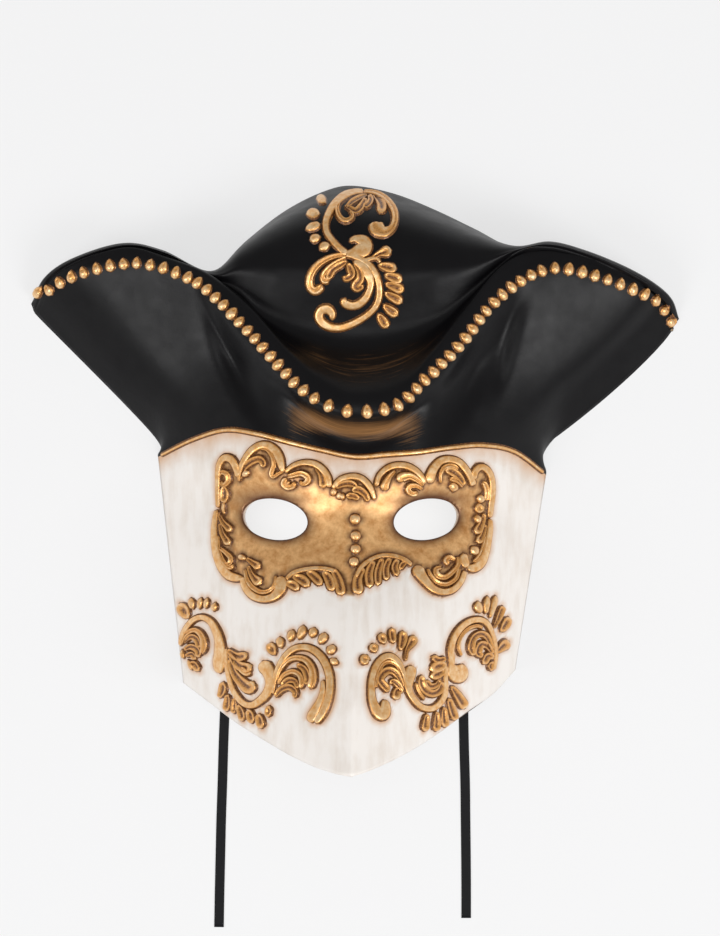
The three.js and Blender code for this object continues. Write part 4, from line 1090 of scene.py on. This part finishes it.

# %% [markdown]
# ## Wash with painted shade, gilding and a painted warm reflection
# The painter's marks follow the form, so they are written on the wall itself. The half-mask inside its
# border is gilded flat. A brown wash gathers beside every stroke of plaster and just below the gold line, with
# painted shade darkening it there, and umber rings the eyes, with painted shade under each brow. A warm
# reflection is painted in a bronze colour along the gutter behind the lip and down the cove below it.

# %% Write the painter's marks on the wall
LEFT_EDGE = [
    (1260, 1430), (1230, 1400), (1150, 1350), (1050, 1290), (950, 1300), (850, 1330), (720, 1330),
    (620, 1480), (540, 1495), (440, 1460), (360, 1380), (335, 1300), (260, 1315), (180, 1280),
    (110, 1150), (75, 980), (75, 850), (100, 720), (125, 640), (115, 330), (125, 240), (200, 175),
    (270, 175), (300, 250), (345, 230), (410, 140), (480, 85), (550, 65), (630, 110), (690, 200),
    (715, 300), (800, 250), (900, 232), (1000, 245), (1080, 290), (1145, 430), (1200, 390), (1270, 360),
]
RIGHT_EDGE = [
    (20, 345), (100, 350), (180, 390), (250, 455), (290, 380), (350, 300), (430, 260), (500, 250),
    (590, 275), (660, 320), (710, 360), (770, 250), (850, 200), (950, 195), (1040, 235), (1120, 340),
    (1160, 250), (1220, 240), (1290, 290), (1330, 370), (1335, 480), (1300, 740), (1290, 900),
    (1260, 1050), (1220, 1180), (1150, 1240), (1075, 1225), (1040, 1330), (980, 1410), (900, 1450),
    (800, 1430), (720, 1370), (650, 1280), (600, 1180), (520, 1160), (450, 1180), (370, 1230),
    (290, 1270), (210, 1320), (130, 1400), (70, 1430), (10, 1440),
]


def half_mask_outline():
    edges = (LEFT_EYE_SHEET, LEFT_EDGE), (RIGHT_EYE_SHEET, RIGHT_EDGE)
    hits = [place(x, y)[0] for (place, _), edge in edges for x, y in edge]
    return [(hit.x / MM, hit.y / MM) for hit in hits]


def within(outline, x, y):
    """Which places lie inside a closed outline."""
    hits = np.zeros(len(x), int)
    for (x0, y0), (x1, y1) in zip(outline, np.roll(outline, -1, axis=0)):
        if y0 == y1:
            continue
        crossed = (y0 > y) != (y1 > y)
        hits += crossed & (x < x0 + (x1 - x0) * (y - y0) / (y1 - y0))
    return hits % 2 == 1


def write_marks(bm):
    layers = {name: bm.verts.layers.float.new(name) for name in ("wash_and_shade", "gilt", "painted_reflection", "eye")}
    flow_u, flow_w, outside = (bm.verts.layers.float[name] for name in ("flow_u", "flow_w", "outside"))
    verts = bm.verts[:]
    places = np.array([v.co for v in verts]) / MM
    u = np.array([v[flow_u] for v in verts])
    w = np.array([v[flow_w] for v in verts])
    front = np.array([v[outside] for v in verts])
    tree = KDTree(len(TRAILS))
    for k, (x, y, _) in enumerate(TRAILS):
        tree.insert((x, y, 0), k)
    tree.balance()
    beside = np.zeros(len(verts))
    for k in np.flatnonzero(front):
        _, near, gap = tree.find((places[k][0], places[k][1], 0))
        beside[k] = max(0, gap - TRAILS[near][2])
    # Painted shade under each brow, strongest just above the eye hole
    shade_above_eye = np.clip((places[:, 1] - EYE_Y + DRAWN_MIDDLE) / (EYE_HEIGHT / 2), 0, 1)
    eye = np.maximum(0, in_eye(places) - 1)
    # A painted warm reflection, coloured like bronze, lies along the cove and, more faintly, along the gutter
    cove = bump(w - 0.82 - 1.5 * u ** 2, 0.07) * np.exp(-(np.abs(u) / 0.3) ** 4)
    below_line = np.exp(-np.maximum(0, w - 1) / 0.055)
    marks = {
        # Brown wash and painted shade beside every stroke and just below the gold line
        "wash_and_shade": front * np.maximum(np.exp(-beside / 2), below_line),
        "gilt": front * within(half_mask_outline(), places[:, 0], places[:, 1]),
        # A painted warm reflection in the cove and the gutter
        "painted_reflection": front * np.maximum(cove, 0.4 * bump(w - 0.56, 0.05) * bump(u, 0.3)),
        # Umber paint round each eye hole, with painted shade under the brow above it
        "eye": front * np.maximum(0.9 * np.exp(-eye / 0.3), shade_above_eye * np.exp(-eye / 0.6)),
    }
    for name, values in marks.items():
        layer = layers[name]
        for v, value in zip(verts, values):
            v[layer] = value


write_marks(shell_bm)
print(len(TRAILS), "places along the strokes")

# %% [markdown]
# ## Paint on papier-mache
# The hat is black lacquer over paper, brushed on and polished, so it shines with a slight unevenness, and a
# warm reflection is painted into its colour in the gutter and the cove. The face is white gesso with a thin
# beige wash that was wiped off again, darkened beside the plaster by wash and painted shade. The half-mask is
# bronze paint on the same ground, darkened with umber and with painted shade round the eyes and beside the
# plaster. Inside, the wall is bare grey-brown paper pulp, sized with glue.

# %% Mix the wall's finishes
def black_lacquer():
    material, tree, shader = new_material("black_lacquer_on_papier_mache")
    flow = add(tree, "ShaderNodeCombineXYZ", {"X": attribute(tree, "flow_u"), "Y": attribute(tree, "flow_w")})
    along_brush = add(tree, "ShaderNodeMapping", {"Vector": flow.outputs["Vector"], "Scale": (7, 190, 1)})
    brushed = grain(tree, along_brush.outputs["Vector"], 1, 5, 0.65)
    swell = grain(tree, on_object(tree), 120, 4)
    uneven = spread(tree, brushed, 0.3, 0.7, -0.9, 0)
    # Painted reflection: a warm bronze colour streaked into the black in the gutter and the cove
    reflection_streaks = reckon(tree, "MULTIPLY_ADD", attribute(tree, "painted_reflection"), 1.5, uneven)
    feed(tree, shader, {
        "Base Color": blend(tree, spread(tree, reflection_streaks, 0.1, 1.4), "#0b0a0c", "#9a6f45"),
        "Normal": relief(tree, brushed, 0.15, 0.2, over=relief(tree, swell, 0.25, 0.5)),
        "Roughness": spread(tree, swell, 0, 1, 0.3, 0.5),
        "Specular IOR Level": 0.18,
    })
    return material


def white_gesso():
    material, tree, shader = new_material("white_gesso_with_gilt_half_mask")
    place, wash_and_shade, gilt = on_object(tree), attribute(tree, "wash_and_shade"), attribute(tree, "gilt")
    along_brush = add(tree, "ShaderNodeMapping", {"Vector": place, "Scale": (260, 45, 45),
                                                  "Rotation": (0, 0, 0.25)})
    washed = grain(tree, along_brush.outputs["Vector"], 1, 5)
    cloud = grain(tree, place, 38, 5, 0.6)
    wash = spread(tree, reckon(tree, "MULTIPLY", washed, cloud), 0.2, 0.42)
    ivory = blend(tree, wash, "#f3ede7", "#e6dcd2")
    # Brown wash and painted shade beside the strokes, in one tan colour on the white
    stain_and_shade = spread(tree, reckon(tree, "MULTIPLY", wash_and_shade, cloud), 0.1, 0.45, 0, 0.85)
    mottle = spread(tree, grain(tree, place, 190, 6, 0.72), 0.3, 0.65)
    # The half-mask darkens towards umber beside the strokes and round the eyes: umber wash and paint, with
    # painted shade
    umber = spread(tree, reckon(tree, "MAXIMUM", wash_and_shade, attribute(tree, "eye")), 0.2, 0.85, 0, 0.95)
    half_mask = blend(tree, umber, blend(tree, mottle, "#c08242", "#f3c184"), "#56301a")
    feed(tree, shader, {
        "Base Color": blend(tree, gilt, blend(tree, stain_and_shade, ivory, "#d4a272"), half_mask),
        "Metallic": reckon(tree, "MULTIPLY", gilt, 0.4),
        "Roughness": spread(tree, gilt, 0, 1, 0.42, 0.4),
        "Normal": relief(tree, washed, 0.15, 0.3),
    })
    return material


def bare_pulp():
    material, tree, shader = new_material("bare_papier_mache_pulp")
    fibre = grain(tree, on_object(tree), 300, 6, 0.7)
    feed(tree, shader, {
        "Base Color": blend(tree, fibre, "#6b5a49", "#b3a188"),
        "Normal": relief(tree, fibre, 0.6, 0.6),
        "Roughness": 0.85,
    })
    return material


FINISHES = [black_lacquer(), white_gesso(), bare_pulp()]
shell = finished("bauta_shell", shell_bm, FINISHES)
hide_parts("mask_shell")
print("the wall has", len(shell.data.polygons), "faces")

# %% [markdown]
# ## Table and light
# A shop's picture of this kind is taken on a pale table of opal acrylic that is lit from below, so the mask
# throws hardly any shadow. Two soft lights stand low at the left and the right, below the chin. A faint one
# hangs overhead and the rest comes from an even sky. A very small lamp under the mask keeps the table
# bright in the eye holes.

# %% Set the table and the lights
table = bpy.data.objects.new("table", bpy.data.meshes.new("table"))
bm = bmesh.new()
bmesh.ops.create_grid(bm, x_segments=1, y_segments=1, size=4)
bm.to_mesh(table.data)
bm.free()
bpy.context.collection.objects.link(table)
acrylic, tree, shader = new_material("opal_acrylic_lit_from_below")
feed(tree, shader, {"Base Color": paint("#7c7c7d"), "Roughness": 0.9,
                    "Emission Color": (1, 1, 1, 1), "Emission Strength": 0.68})
table.data.materials.append(acrylic)
bpy.context.scene.view_settings.view_transform = "Standard"

world = bpy.data.worlds.new("even_sky")
world.use_nodes = True
world.node_tree.nodes["Background"].inputs["Color"].default_value = (1, 1, 1, 1)
world.node_tree.nodes["Background"].inputs["Strength"].default_value = 0.36
bpy.context.scene.world = world


def soft_light(name, place, aim, size, power):
    data = bpy.data.lights.new(name, "AREA")
    data.shape = "RECTANGLE"
    data.size, data.size_y = size
    data.energy = power
    light = bpy.data.objects.new(name, data)
    light.location = place
    light.rotation_euler = (Vector(aim) - Vector(place)).to_track_quat("-Z", "Y").to_euler()
    bpy.context.collection.objects.link(light)


# Each light: its place, what it is aimed at, its size in metres and its power
LIGHTS = {
    "key": ((1.2, -0.75, 1.35), (0, 0, 0.03), (0.8, 0.8), 18.5),
    "fill": ((-1.3, -0.7, 1.35), (0, 0, 0.03), (0.8, 0.8), 16),
    "overhead": ((0, 0, 2.6), (0, 0, 0.03), (1, 1), 10.5),
    "inside": ((-0.002, -0.024, 0.024), (-0.002, -0.024, 0), (0.1, 0.04), 0.018),
}
for name, light in LIGHTS.items():
    soft_light(name, *light)
print(len(LIGHTS), "soft lights")
